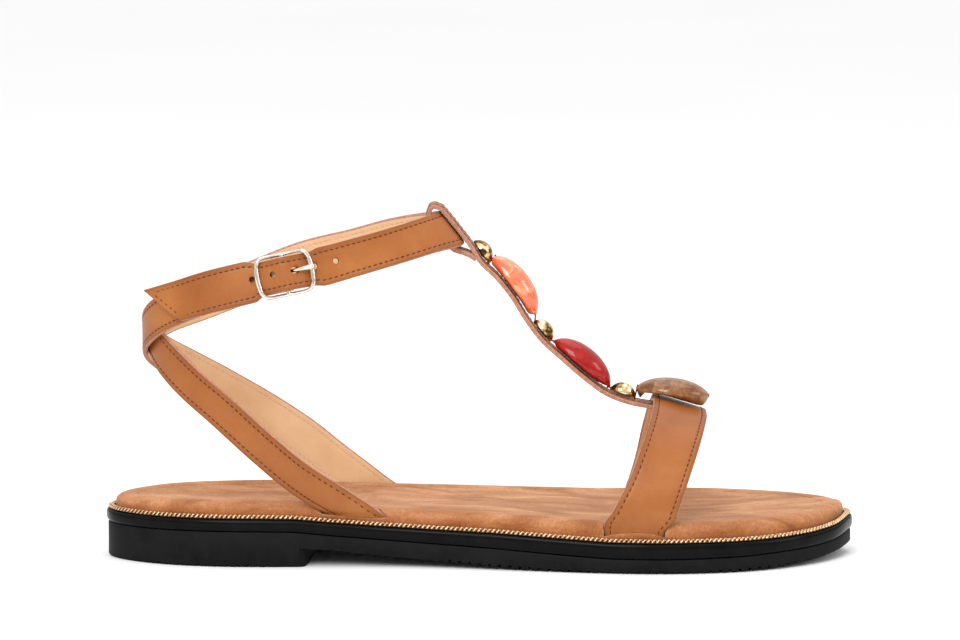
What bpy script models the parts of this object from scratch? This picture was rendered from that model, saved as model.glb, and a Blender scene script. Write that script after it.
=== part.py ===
"""T strap sandal, right shoe: moulded sole, beaded welt, padded footbed, leather straps and stones.

Metres, +Z up, toe along +X, the buckle side along -Y, floor at z = 0, middle of the sole's length at x = 0.
"""
import math

import bmesh
import bpy
import numpy as np
from mathutils import Matrix

MM = 0.001

# Sole, overall
SOLE_LENGTH = 259.5 * MM
BALL_WIDTH = 90 * MM
HEEL_TOP = 16.4 * MM        # top of the midsole over the heel
ARCH_RISE = 6.2 * MM        # underside of the sole just ahead of the heel
TOE_SPRING = 4.6 * MM       # underside of the sole at the toe tip
MIDSOLE_THICK = 5.2 * MM    # at the ball
HEEL_BREAST = 70 * MM       # front face of the heel, from the back of the sole
BREAST_SLANT = 4.5 * MM     # the inner end of the breast lies further forward
HEEL_CORNER = 4 * MM        # rounding of the heel's front corners
OUTSOLE_INSET = 0.6 * MM    # the midsole stands this much proud of the outsole
MIDSOLE_ROUND = 0.9 * MM    # rounding of the midsole's edge
GAP = 0.3 * MM              # between neighbours

# Bead trim and footbed
TRIM_INSET = 0.6 * MM
TRIM_WIDTH = 2.4 * MM
TRIM_HEIGHT = 1.9 * MM
FOOTBED_HEIGHT = 5.9 * MM
FOOTBED_DISH = 2.2 * MM     # depth of the heel seat below the rim
FOOTBED_INSET = TRIM_INSET + TRIM_WIDTH + 0.7 * MM
ARCH_LIFT = 1.4 * MM        # the inner side of the waist stands higher

# Straps
STRAP_THICK = 1.8 * MM
ANKLE_WIDTH = 14 * MM
VAMP_WIDTH = 19 * MM
VAMP_HEIGHT = 52.2 * MM       # middle of the strap over the instep, above the floor
T_WIDTH = 12.5 * MM
T_THICK = 1.6 * MM
T_SINK = 0.45 * MM          # the T-bar is pressed and sewn into the vamp strap by this much
COLLAR_HEIGHT = 114 * MM    # middle of the ankle strap at the front, above the floor
COLLAR_LENGTH = 104 * MM    # back of the ankle strap to its front, middle to middle
COLLAR_WIDTH = 61 * MM
ROOT_BEND = 2 * MM          # radius of a strap's middle where it turns in under the footbed
LASTING = 6 * MM            # strap ends tucked in under the footbed
HOLE_SIZE = 2.0 * MM
HOLE_PITCH = 7.6 * MM
HOLE_COUNT = 5

# Buckle
BUCKLE_LENGTH = 18.8 * MM   # middle of the left bar to middle of the right bar
BUCKLE_CORNER = 0.80        # where the rails turn into the side bars, share of half the length
BUCKLE_BAR = 1.7 * MM       # side bars
RAIL_BAR = 1.2 * MM         # the two long rails
CENTRE_BAR = 1.4 * MM
PRONG_BAR = 1.2 * MM
FOLD_THICK = 1.2 * MM       # the strap is skived thin where it folds round the bar
BUCKLE_PINCH = 0.83         # the strap is drawn in between the rails, share of its width
HOLE_RAISE = 0.6 * MM       # the holes lie a little above the strap's middle line

# Stones and beads, along the T: length, width, height
CORAL_SIZE = (24.3 * MM, 12.5 * MM, 7.2 * MM)
RED_SIZE = (24.6 * MM, 13.0 * MM, 7.6 * MM)
JASPER_SIZE = (25.0 * MM, 15.5 * MM, 6.2 * MM)
GOLD_SIZE = (8.9 * MM, 6.6 * MM, 4.3 * MM)
STONE_BELLY = 0.22          # share of a stone's height that lies below its widest line

# Where each stone's middle lies along the T, from the middle of the sole, share of its length
STONE_PLACES = (
    # name, forward, size, material
    ("gold_bead_1", -0.0011, GOLD_SIZE, "gold"),
    ("stone_coral", 0.0405, CORAL_SIZE, "coral"),
    ("gold_bead_2", 0.0805, GOLD_SIZE, "gold"),
    ("stone_red", 0.1312, RED_SIZE, "carnelian"),
    ("gold_bead_3", 0.1893, GOLD_SIZE, "gold"),
    ("stone_jasper", 0.2562, JASPER_SIZE, "jasper"),
)

# Sole sections. along: share of the length from the heel. outer, inner: shares of half the ball width.
# top: share of HEEL_TOP. under: height of the underside, share of ARCH_RISE. thick: share of MIDSOLE_THICK.
SOLE_SECTIONS = (
    # along, outer, inner, top, under, thick
    (0.008, 0.175, 0.180, 1.000, 1.25, 0.78),
    (0.030, 0.330, 0.330, 1.000, 1.25, 0.78),
    (0.060, 0.455, 0.460, 0.998, 1.25, 0.78),
    (0.095, 0.550, 0.555, 0.998, 1.25, 0.78),
    (0.143, 0.622, 0.627, 1.000, 1.25, 0.78),
    (0.210, 0.652, 0.658, 1.000, 1.17, 0.78),
    (0.255, 0.648, 0.660, 0.990, 1.08, 0.78),
    (0.300, 0.642, 0.662, 0.925, 0.98, 0.80),
    (0.364, 0.640, 0.672, 0.850, 0.67, 0.82),
    (0.440, 0.680, 0.722, 0.790, 0.42, 0.88),
    (0.520, 0.768, 0.806, 0.752, 0.20, 0.94),
    (0.600, 0.866, 0.911, 0.690, 0.04, 1.00),
    (0.670, 0.938, 0.990, 0.634, 0.00, 1.00),
    (0.733, 0.964, 1.032, 0.626, 0.00, 1.00),
    (0.790, 0.940, 1.026, 0.630, 0.00, 0.98),
    (0.849, 0.858, 0.956, 0.636, 0.08, 0.94),
    (0.900, 0.711, 0.833, 0.650, 0.17, 0.88),
    (0.942, 0.520, 0.678, 0.676, 0.26, 0.88),
    (0.973, 0.311, 0.500, 0.728, 0.42, 0.88),
    (0.992, 0.078, 0.289, 0.810, 0.60, 0.88),
)
HEEL_TIP = (0.0, 0.0)       # along, share of half the ball width
TOE_TIP = (1.0, 0.11)
OUTLINE_STEPS = 68
# The tables run from the foot's middle line. This puts the middle of the sole's width at y = 0.
MIDDLE_SHIFT = (max(row[1] for row in SOLE_SECTIONS) - max(row[2] for row in SOLE_SECTIONS)) * BALL_WIDTH / 4

# Vamp strap, from its outer root over the instep to its inner root.
# along: share of the sole length. across: share of half the ball width. up: share of VAMP_HEIGHT.
# width: share of VAMP_WIDTH. fall: how much the strap falls towards the toe across its width.
VAMP_ROWS = (
    # along, across, up, width, fall
    (0.7150, -0.905, 0.400, 1.05, 0.00),
    (0.7300, -0.872, 0.560, 1.00, 0.03),
    (0.7450, -0.765, 0.745, 0.98, 0.11),
    (0.7570, -0.580, 0.892, 0.98, 0.22),
    (0.7640, -0.330, 0.974, 1.00, 0.29),
    (0.7665, 0.000, 1.000, 1.02, 0.31),
    (0.7660, 0.330, 0.968, 1.00, 0.29),
    (0.7620, 0.620, 0.868, 0.98, 0.22),
    (0.7560, 0.845, 0.705, 0.98, 0.11),
    (0.7500, 0.950, 0.530, 1.00, 0.03),
    (0.7440, 0.962, 0.380, 1.06, 0.00),
)
VAMP_ROOT_OUTER = 0.702     # along
VAMP_ROOT_INNER = 0.738

# T-bar from its end under the vamp strap, up the instep to the ankle strap.
# forward: from the middle of the sole, share of its length. up: from the vamp strap to COLLAR_HEIGHT.
T_FRONT = -0.0395           # forward: the ankle strap's front
T_ROWS = (
    # forward, up
    (0.2760, -0.006),
    (0.2500, 0.006),
    (0.2270, 0.022),
    (0.2000, 0.044),
    (0.1690, 0.092),
    (0.1395, 0.180),
    (0.1100, 0.285),
    (0.0820, 0.392),
    (0.0610, 0.508),
    (0.0425, 0.632),
    (0.0220, 0.737),
    (0.0010, 0.822),
)
# The loop over the ankle strap, measured from that strap's middle at the front.
# down: along the strap's width, share of ANKLE_WIDTH. out: from its surface, in strap thicknesses.
LOOP_ROWS = (
    # down, out
    (0.62, 1.19),
    (0.20, 1.23),
    (-0.28, 1.20),
    (-0.57, 0.95),
    (-0.71, 0.00),
    (-0.64, -1.30),
    (-0.32, -2.06),
    (0.15, -2.14),
    (0.44, -1.86),
    (0.64, -0.88),
    (0.80, -0.12),
    (0.98, 0.34),
)

# Ankle straps. along: from the back of the collar, share of COLLAR_LENGTH. across: share of half the
# collar width, outer side negative. up: share of COLLAR_HEIGHT. lean: upward tilt of the strap's face.
# width: share of ANKLE_WIDTH. layer: how many strap thicknesses it lies out from the foot.
LONG_ROWS = (
    # along, across, up, lean, width, layer
    (0.670, -0.820, 0.168, -6, 0.80, 0.0),
    (0.595, -0.860, 0.212, -6, 0.84, 0.0),
    (0.500, -0.920, 0.272, -4, 0.82, 0.0),
    (0.385, -0.945, 0.361, 1, 0.82, 0.0),
    (0.256, -0.865, 0.466, 3, 0.84, 0.0),
    (0.132, -0.650, 0.557, 3, 0.86, 0.0),
    (0.036, -0.300, 0.642, 2, 0.90, 0.0),
    (0.000, 0.080, 0.690, 2, 0.93, 0.0),
    (0.045, 0.470, 0.717, 2, 0.96, 0.0),
    (0.170, 0.790, 0.755, 4, 0.98, 0.0),
    (0.330, 0.930, 0.810, 6, 1.0, 0.0),
    (0.510, 0.960, 0.872, 9, 1.0, 0.0),
    (0.690, 0.860, 0.917, 14, 1.0, 0.0),
    (0.830, 0.680, 0.956, 22, 1.0, 0.0),
    (0.935, 0.480, 0.980, 32, 1.0, 0.0),
    (0.993, 0.240, 0.993, 38, 1.0, 0.0),
    (1.000, 0.000, 0.998, 38, 1.0, 0.0),
    (0.993, -0.240, 0.999, 38, 1.0, 0.0),
    (0.935, -0.480, 0.990, 32, 0.95, 0.0),
    (0.830, -0.680, 0.965, 22, 0.92, 0.0),
    (0.690, -0.850, 0.932, 13, 0.92, 0.35),
    (0.575, -0.930, 0.905, 9, 0.95, 1.0),
    (0.463, -0.965, 0.885, 7, 1.0, 1.17),
    (0.340, -0.945, 0.858, 6, 1.04, 1.17),
    (0.220, -0.870, 0.828, 5, 1.04, 1.22),
    (0.140, -0.770, 0.803, 4, 1.02, 1.40),
    (0.074, -0.650, 0.781, 4, 1.0, 1.70),
)
SHORT_ROWS = (
    # along, across, up, lean, width, layer
    (0.690, 0.850, 0.196, -6, 0.88, 0.0),
    (0.615, 0.890, 0.240, -6, 1.00, 0.0),
    (0.500, 0.960, 0.318, -3, 1.04, 0.0),
    (0.372, 0.970, 0.399, 1, 0.99, 0.0),
    (0.252, 0.880, 0.472, 3, 0.92, 0.1),
    (0.130, 0.670, 0.546, 3, 0.86, 0.50),
    (0.040, 0.330, 0.609, 2, 0.88, 0.80),
    (0.000, -0.060, 0.675, 2, 0.90, 0.80),
    (0.036, -0.430, 0.737, 3, 0.90, 0.50),
    (0.120, -0.710, 0.787, 4, 0.90, 0.1),
    (0.220, -0.870, 0.824, 5, 0.88, 0.0),
    (0.310, -0.940, 0.850, 6, 0.86, 0.0),
    (0.360, -0.952, 0.862, 6, 0.83, 0.0),
)
COLLAR_BACK = 15.5 * MM     # back of the collar, ahead of the back of the sole
BUCKLE_ALONG = 0.463        # buckle's middle along the collar, from its back
TIP_SLANT = 0.85            # slanted end of the free strap, share of its width
UNDER_LAYER = 1.17          # at the buckle, from the long strap's middle to the short one's, in thicknesses
PRONG_HOLE = 3.6 * MM       # from the centre bar to the hole in use
PRONG_HOLE_NUMBER = 2       # counted from the front
PRONG_FLARE = 1.5           # the prong's tip is broader than its knuckle


def new_material(name, colour, roughness, metallic=0.0):
    material = bpy.data.materials.new(name)
    material.use_nodes = True
    shader = material.node_tree.nodes["Principled BSDF"]
    shader.inputs["Base Color"].default_value = (*colour, 1.0)
    shader.inputs["Roughness"].default_value = roughness
    shader.inputs["Metallic"].default_value = metallic
    return material


def new_object(name, mesh_source, material=None, sharp=40):
    mesh = bpy.data.meshes.new(name)
    mesh_source.to_mesh(mesh)
    mesh_source.free()
    mesh.shade_smooth()
    mesh.set_sharp_from_angle(angle=math.radians(sharp))
    if material:
        mesh.materials.append(material)
    shape = bpy.data.objects.new(name, mesh)
    shape.location.y = MIDDLE_SHIFT
    bpy.context.scene.collection.objects.link(shape)
    return shape


def as_cutter(shape):
    shape.hide_render = True
    shape.display_type = "WIRE"
    return shape


def cut(target, cutter, operation="DIFFERENCE", own=False):
    boolean = target.modifiers.new(cutter.name, "BOOLEAN")
    boolean.operation = operation
    boolean.solver = "EXACT"
    boolean.use_self = own
    boolean.object = as_cutter(cutter)


def smooth_line(rows, spacing, turn=24):
    """A smooth curve through a table's rows, the other columns following along.

    It is read at steps of `spacing` metres, and closer where it turns: one more step for `turn` degrees.
    """
    rows = np.asarray(rows, float)
    chord = np.linalg.norm(np.diff(rows[:, :3], axis=0), axis=1)
    knots = np.concatenate(([0.0], np.cumsum(chord)))
    slopes = np.gradient(rows, knots, axis=0)
    fine = np.linspace(0.0, knots[-1], 40 * len(rows))
    span = np.clip(np.searchsorted(knots, fine, side="right") - 1, 0, len(rows) - 2)
    width = (knots[span + 1] - knots[span])[:, None]
    t = (fine - knots[span])[:, None] / width
    curve = ((2 * t**3 - 3 * t**2 + 1) * rows[span] + (t**3 - 2 * t**2 + t) * width * slopes[span]
             + (3 * t**2 - 2 * t**3) * rows[span + 1] + (t**3 - t**2) * width * slopes[span + 1])
    steps = np.diff(curve[:, :3], axis=0)
    lengths = np.linalg.norm(steps, axis=1)
    heading = unit(steps)
    bend = np.degrees(np.arccos(np.clip(np.sum(heading[1:] * heading[:-1], axis=1), -1.0, 1.0)))
    effort = lengths / spacing + np.concatenate(([0.0], bend)) / turn
    walked = np.concatenate(([0.0], np.cumsum(effort)))
    count = max(2, round(walked[-1]))
    stations = np.linspace(0.0, walked[-1], count + 1)
    return np.stack([np.interp(stations, walked, column) for column in curve.T], axis=1)


def unit(vectors):
    return vectors / np.linalg.norm(vectors, axis=-1, keepdims=True)


def tangents(points):
    return unit(np.gradient(points, axis=0))


def skin(rings, closed=False):
    """Side faces through rings of points that pair up one to one; a closed row of rings joins its ends."""
    source = bmesh.new()
    loops = [[source.verts.new(point) for point in ring] for ring in rings]
    for lower, upper in zip(loops, loops[1:] + (loops[:1] if closed else [])):
        for k in range(len(lower)):
            after = (k + 1) % len(lower)
            source.faces.new((lower[k], lower[after], upper[after], upper[k]))
    return source, loops


def capped(name, rings, material=None, sharp=40):
    """A closed solid through rings of points, with flat ends."""
    source, loops = skin(rings)
    source.faces.new(loops[0])
    source.faces.new(loops[-1])
    bmesh.ops.recalc_face_normals(source, faces=source.faces)
    return new_object(name, source, material, sharp)


# Sole


def sole_column(column, along):
    """One column of the sole's table at any share of the length."""
    table = np.array(SOLE_SECTIONS)
    return np.interp(along, table[:, 0], table[:, column])


def along_of(x):
    return x / SOLE_LENGTH + 0.5


def top_height(x):
    return HEEL_TOP * sole_column(3, along_of(x))


def seam_height(x):
    return top_height(x) - MIDSOLE_THICK * sole_column(5, along_of(x))


def under_height(x):
    share = along_of(x)
    toe = np.clip((share - 0.75) / 0.25, 0.0, 1.0)
    spring = TOE_SPRING * (0.35 * toe + 0.65 * toe**5)
    return np.where(share > 0.75, spring, ARCH_RISE * sole_column(4, share))


def half_width(x, side):
    """Distance of the midsole's edge from the middle line; side is -1 outer, 1 inner."""
    return sole_column(1 if side < 0 else 2, along_of(x)) * BALL_WIDTH / 2


def sole_outline():
    """The midsole's edge seen from above: points run evenly round it, with their outward directions."""
    outer = [(row[0], -row[1]) for row in SOLE_SECTIONS]
    inner = [(row[0], row[2]) for row in reversed(SOLE_SECTIONS)]
    corners = [HEEL_TIP] + outer + [TOE_TIP] + inner
    wrapped = corners[-3:] + corners + corners[:4]
    points = [((along - 0.5) * SOLE_LENGTH, across * BALL_WIDTH / 2, 0.0) for along, across in wrapped]
    curve = smooth_line(points, SOLE_LENGTH / 600)[:, :2]
    start = np.argmin(np.linalg.norm(curve[:len(curve) // 3] - np.array(points[3][:2]), axis=1))
    finish = len(curve) // 3 + np.argmin(np.linalg.norm(curve[len(curve) // 3:] - curve[start], axis=1))
    ring = curve[start:finish + 1]
    walked = np.concatenate(([0.0], np.cumsum(np.linalg.norm(np.diff(ring, axis=0), axis=1))))
    stations = np.linspace(0.0, walked[-1], OUTLINE_STEPS, endpoint=False)
    points = np.stack([np.interp(stations, walked, ring[:, k]) for k in (0, 1)], axis=1)
    along = unit(np.roll(points, -1, axis=0) - np.roll(points, 1, axis=0))
    return points, np.stack([along[:, 1], -along[:, 0]], axis=1)


def spine_points(points):
    """For each point of the outline, its place on the sole's middle line; outer and inner points pair up."""
    partner = np.roll(points[::-1], 1, axis=0)
    heel_end = -SOLE_LENGTH * 0.37
    toe_end = SOLE_LENGTH * 0.33
    x = np.clip((points[:, 0] + partner[:, 0]) * 0.45, heel_end, toe_end)
    middle = (half_width(x, 1) - half_width(x, -1)) / 2
    return np.stack([x, middle], axis=1)


def ring_solid(name, rings, material, sharp=40):
    """A closed solid through rings of the sole's outline; the first and last lie on the middle line."""
    source, _ = skin(rings)
    bmesh.ops.remove_doubles(source, verts=source.verts, dist=0.00001)
    bmesh.ops.recalc_face_normals(source, faces=source.faces)
    return new_object(name, source, material, sharp)


def sole_ring(inset, height, inward=0.0):
    """The outline drawn in by `inset`, then a share `inward` of the way to the middle line."""
    points, outward = sole_outline()
    edge = points - outward * inset
    line = spine_points(points)
    flat = edge + (line - edge) * inward
    return [(x, y, z) for (x, y), z in zip(flat, height(flat[:, 0], flat[:, 1]))]


def lid(inset, height, inwards):
    return [sole_ring(inset, height, inward) for inward in inwards]


LID_STEPS = (0.3, 0.65, 1.0)


def make_outsole(material):
    def underside(x, y):
        return under_height(x) * 0.0

    def topside(x, y):
        return seam_height(x) - GAP

    inset = OUTSOLE_INSET
    floor_round = 0.8 * MM
    rings = lid(inset + floor_round, underside, reversed(LID_STEPS))
    rings.append(sole_ring(inset + floor_round, underside))
    rings.append(sole_ring(inset, lambda x, y: underside(x, y) + floor_round))
    rings.append(sole_ring(inset, topside))
    rings += lid(inset, topside, LID_STEPS)
    outsole = ring_solid("outsole", rings, material)
    cut(outsole, arch_cutter())
    return outsole


def arch_cutter():
    """The hollow under the waist and the toe spring: everything between the floor and the underside."""
    source = bmesh.new()
    columns = 40
    rows = 8
    bmesh.ops.create_grid(source, x_segments=columns, y_segments=rows, size=0.5)
    reach = BALL_WIDTH * 0.75
    breast = HEEL_BREAST - SOLE_LENGTH / 2
    toe = SOLE_LENGTH / 2 + 8 * MM
    for vert in source.verts:
        y = vert.co.y * 2 * reach
        edge = BALL_WIDTH * 0.323
        beyond = max(0.0, abs(y) - (edge - HEEL_CORNER))
        corner = HEEL_CORNER - math.sqrt(max(0.0, HEEL_CORNER**2 - min(beyond, HEEL_CORNER)**2))
        back = breast + BREAST_SLANT * (0.5 + y / (2 * edge)) - corner
        x = back + (toe - back) * (vert.co.x + 0.5)
        vert.co = (x, y, float(under_height(x)) - 0.05 * MM)
    extruded = bmesh.ops.extrude_face_region(source, geom=source.faces[:])
    for vert in (item for item in extruded["geom"] if isinstance(item, bmesh.types.BMVert)):
        vert.co.z = -5 * MM
    bmesh.ops.recalc_face_normals(source, faces=source.faces)
    return new_object("arch_cutter", source)


def make_midsole(material):
    def seam(x, y):
        return seam_height(x)

    def top(x, y):
        return top_height(x)

    def between(share):
        return lambda x, y: seam_height(x) + (top_height(x) - seam_height(x)) * share

    rings = lid(MIDSOLE_ROUND, seam, reversed(LID_STEPS))
    rings.append(sole_ring(MIDSOLE_ROUND, seam))
    rings.append(sole_ring(MIDSOLE_ROUND * 0.3, between(0.16)))
    rings.append(sole_ring(0.0, between(0.45)))
    rings.append(sole_ring(MIDSOLE_ROUND * 0.15, between(0.75)))
    rings.append(sole_ring(MIDSOLE_ROUND * 0.7, top))
    rings.append(sole_ring(TRIM_INSET + TRIM_WIDTH, top))
    rings += lid(FOOTBED_INSET, top, (0.0,) + LID_STEPS)
    return ring_solid("midsole", rings, material)


def make_trim(material):
    """The beaded band, as a plain ring with a rounded section."""
    sides = 6
    rings = []
    for k in range(sides):
        angle = 2 * math.pi * (k + 0.5) / sides
        inset = TRIM_INSET + TRIM_WIDTH / 2 - TRIM_WIDTH / 2 * math.cos(angle) / math.cos(math.pi / sides)
        rise = GAP + TRIM_HEIGHT / 2 * (1 + math.sin(angle) / math.cos(math.pi / sides))
        rings.append(sole_ring(inset, lambda x, y, rise=rise: top_height(x) + rise))
    source, _ = skin(rings, closed=True)
    bmesh.ops.recalc_face_normals(source, faces=source.faces)
    return new_object("bead_trim", source, material, 70)


def footbed_crest(x, y):
    """Height of the footbed's rim."""
    arch = np.exp(-(((along_of(x) - 0.40) / 0.13)**2)) * np.clip(y / (BALL_WIDTH * 0.3), 0.0, 1.0)
    front = np.clip((along_of(x) - 0.30) / 0.30, 0.0, 1.0)
    ends = np.clip(1.0 - along_of(x) / 0.10, 0.0, 1.0)**2 + np.clip(along_of(x) / 0.10 - 9.0, 0.0, 1.0)**2
    return top_height(x) + FOOTBED_HEIGHT * (1 + 0.14 * front - 0.20 * ends) + ARCH_LIFT * arch


def make_footbed(material, cutters):
    wall = TRIM_INSET + TRIM_WIDTH + GAP

    def bottom(x, y):
        return top_height(x) + GAP

    def level(share):
        return lambda x, y: bottom(x, y) + (footbed_crest(x, y) - bottom(x, y)) * share

    def dished(depth):
        def height(x, y):
            heel = np.exp(-(((along_of(x) - 0.16) / 0.16)**2))
            fore = 0.45 * np.exp(-(((along_of(x) - 0.72) / 0.14)**2))
            return footbed_crest(x, y) - FOOTBED_DISH * depth * (0.35 + 0.65 * (heel + fore))
        return height

    rings = lid(FOOTBED_INSET, bottom, reversed(LID_STEPS))
    rings.append(sole_ring(FOOTBED_INSET, bottom))
    rings.append(sole_ring(wall, level(0.25)))
    rings.append(sole_ring(wall + 0.1 * MM, level(0.55)))
    rings.append(sole_ring(wall + 0.7 * MM, level(0.82)))
    rings.append(sole_ring(wall + 2.2 * MM, level(0.97)))
    rings.append(sole_ring(wall + 4.2 * MM, level(1.0)))
    rings.append(sole_ring(wall + 6.6 * MM, dished(0.35)))
    rings.append(sole_ring(wall + 6.6 * MM, dished(0.75), 0.25))
    rings.append(sole_ring(wall + 6.6 * MM, dished(0.95), 0.6))
    rings.append(sole_ring(wall + 6.6 * MM, dished(1.0), 1.0))
    footbed = ring_solid("footbed", rings, material, 60)
    for cutter in cutters:
        cut(footbed, cutter, own=True)
    return footbed


# Straps


def ribbon(name, centres, sides, widths, thick, material=None, slant=0.0):
    """A flat strap along a line of centres, as wide as `widths` square to that line.

    `sides` is the direction of its cross lines, also where they run askew; `slant` draws out its last end.
    """
    along = tangents(centres)
    faces = np.cross(along, sides)
    square = np.linalg.norm(faces, axis=1, keepdims=True)
    half_side = sides / square * np.reshape(widths, (-1, 1)) / 2
    half_face = faces / square * np.broadcast_to(thick, len(centres))[:, None] / 2
    walked = line_lengths(centres)
    ease = np.clip((walked - walked[-1]) / (3 * abs(slant) + MM) + 1.0, 0.0, 1.0)
    drawn = along * (ease * slant / 2)[:, None]
    right = centres + half_side + drawn
    left = centres - half_side - drawn
    rings = np.stack((right + half_face, left + half_face, left - half_face, right - half_face), axis=1)
    return capped(name, rings, material, 50)


def line_lengths(points):
    """Distance walked to each point of a line."""
    return np.concatenate(([0.0], np.cumsum(np.linalg.norm(np.diff(points, axis=0), axis=1))))


def rod(name, points, radii, reference, material=None, closed=False, sides=8):
    """A round bar along a line of points."""
    points = np.asarray(points, float)
    if closed:
        along = unit(np.roll(points, -1, axis=0) - np.roll(points, 1, axis=0))
    else:
        along = tangents(points)
    first = unit(np.cross(along, reference))
    second = np.cross(along, first)
    radii = np.broadcast_to(radii, len(points))[:, None]
    turns = [2 * math.pi * k / sides for k in range(sides)]
    rings = np.stack([points + radii * (first * math.cos(turn) + second * math.sin(turn))
                      for turn in turns], axis=1)
    if not closed:
        return capped(name, rings, material)
    source, _ = skin(rings, closed=True)
    bmesh.ops.recalc_face_normals(source, faces=source.faces)
    return new_object(name, source, material)


def root_line(x, side, drift=0.0):
    """A strap's end in the sole: down beside the footbed's wall, then tucked in under it.

    x is where it meets the footbed's bottom; `drift` is how far it runs forward for each metre along it.
    Also gives how the sole's top rises and its edge spreads there, for each metre forward.
    """
    level = float(top_height(x)) + 1.6 * GAP + STRAP_THICK / 2
    reach = ANKLE_WIDTH / 2
    slope = float(top_height(x + reach) - top_height(x - reach)) / (2 * reach)
    splay = side * float(half_width(x + reach, side) - half_width(x - reach, side)) / (2 * reach)
    edge = side * (float(half_width(x, side)) - TRIM_INSET - TRIM_WIDTH - 1.6 * GAP - STRAP_THICK / 2)
    bend = ROOT_BEND
    points = []
    for angle in (0, 30, 60, 90):
        turn = math.radians(angle)
        points.append((x + drift * bend * turn, edge - side * bend * (1 - math.cos(turn)),
                       level + bend * (1 - math.sin(turn))))
    under = bend * math.pi / 2 + LASTING
    points.append((x + drift * under, edge - side * (bend + LASTING), level))
    return points, slope, splay


def root_cutter(name, centres, sides, widths):
    """Room for a strap's end in the footbed: the same band, larger all round by the gap."""
    rim = float(top_height(centres[0][0])) + FOOTBED_HEIGHT + ARCH_LIFT + ANKLE_WIDTH / 2
    count = int(np.argmax(centres[:, 2] > rim)) + 1
    line = centres[:count].copy()
    line[0] += unit(line[0] - line[1]) * GAP
    return ribbon(name, line, sides[:count], widths[:count] + 2 * GAP, STRAP_THICK + 2 * GAP)


def vamp_line():
    outer, outer_slope, outer_splay = root_line((VAMP_ROOT_OUTER - 0.5) * SOLE_LENGTH, -1)
    inner, inner_slope, inner_splay = root_line((VAMP_ROOT_INNER - 0.5) * SOLE_LENGTH, 1)
    outer_width = VAMP_ROWS[0][3] * VAMP_WIDTH
    inner_width = VAMP_ROWS[-1][3] * VAMP_WIDTH
    rows = [(*point, outer_width, -outer_slope, outer_splay) for point in outer[::-1]]
    for along, across, up, width, fall in VAMP_ROWS:
        rows.append(((along - 0.5) * SOLE_LENGTH, across * BALL_WIDTH / 2, up * VAMP_HEIGHT,
                     width * VAMP_WIDTH, fall, 0.0))
    rows += [(*point, inner_width, -inner_slope, inner_splay) for point in inner]
    line = smooth_line(rows, 4 * MM)
    sides = np.stack([np.ones(len(line)), line[:, 5], -line[:, 4]], axis=1)
    return line[:, :3], sides, line[:, 3]


def collar_front():
    """Middle of the ankle strap at the front, with its directions down the instep and out of the foot."""
    rows = np.array(LONG_ROWS)
    front = rows[np.argmax(rows[:, 0])]
    x = COLLAR_BACK - SOLE_LENGTH / 2 + front[0] * COLLAR_LENGTH
    lean = math.radians(front[3])
    out = np.array((math.cos(lean), 0.0, math.sin(lean)))
    down = np.array((math.sin(lean), 0.0, -math.cos(lean)))
    return np.array((x, 0.0, front[2] * COLLAR_HEIGHT)), down, out


def instep_place(forward):
    """How far forward a place on the T-bar lies. The bar reaches from the ankle strap to the vamp strap."""
    crest = max(VAMP_ROWS, key=lambda row: row[2])
    front = collar_front()[0][0]
    reach = (crest[0] - 0.5) * SOLE_LENGTH - front
    return front + (forward - T_FRONT) / (crest[0] - 0.5 - T_FRONT) * reach


def t_line():
    """The T-bar's middle line, from under the vamp strap to the tab of its loop."""
    middle, down, out = collar_front()
    base = VAMP_HEIGHT - (STRAP_THICK + T_THICK) / 2 + T_SINK
    rows = [(instep_place(forward), 0.0, base + up * (middle[2] - base)) for forward, up in T_ROWS]
    for low, far in LOOP_ROWS:
        rows.append(tuple(middle + down * low * ANKLE_WIDTH + out * far * STRAP_THICK))
    return smooth_line(rows, 4 * MM, 18)


def make_t_strap(material):
    centres, sides, widths = vamp_line()
    upper = ribbon("upper_t_strap", centres, sides, widths, STRAP_THICK, material)
    line = t_line()
    across = np.tile((0.0, 1.0, 0.0), (len(line), 1))
    bar = ribbon("t_bar", line, across, np.full(len(line), T_WIDTH), T_THICK)
    cut(upper, bar, "UNION", own=True)
    outer = root_cutter("vamp_root_outer", centres, sides, widths)
    inner = root_cutter("vamp_root_inner", centres[::-1], sides[::-1], widths[::-1])
    return [outer, inner]


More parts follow.
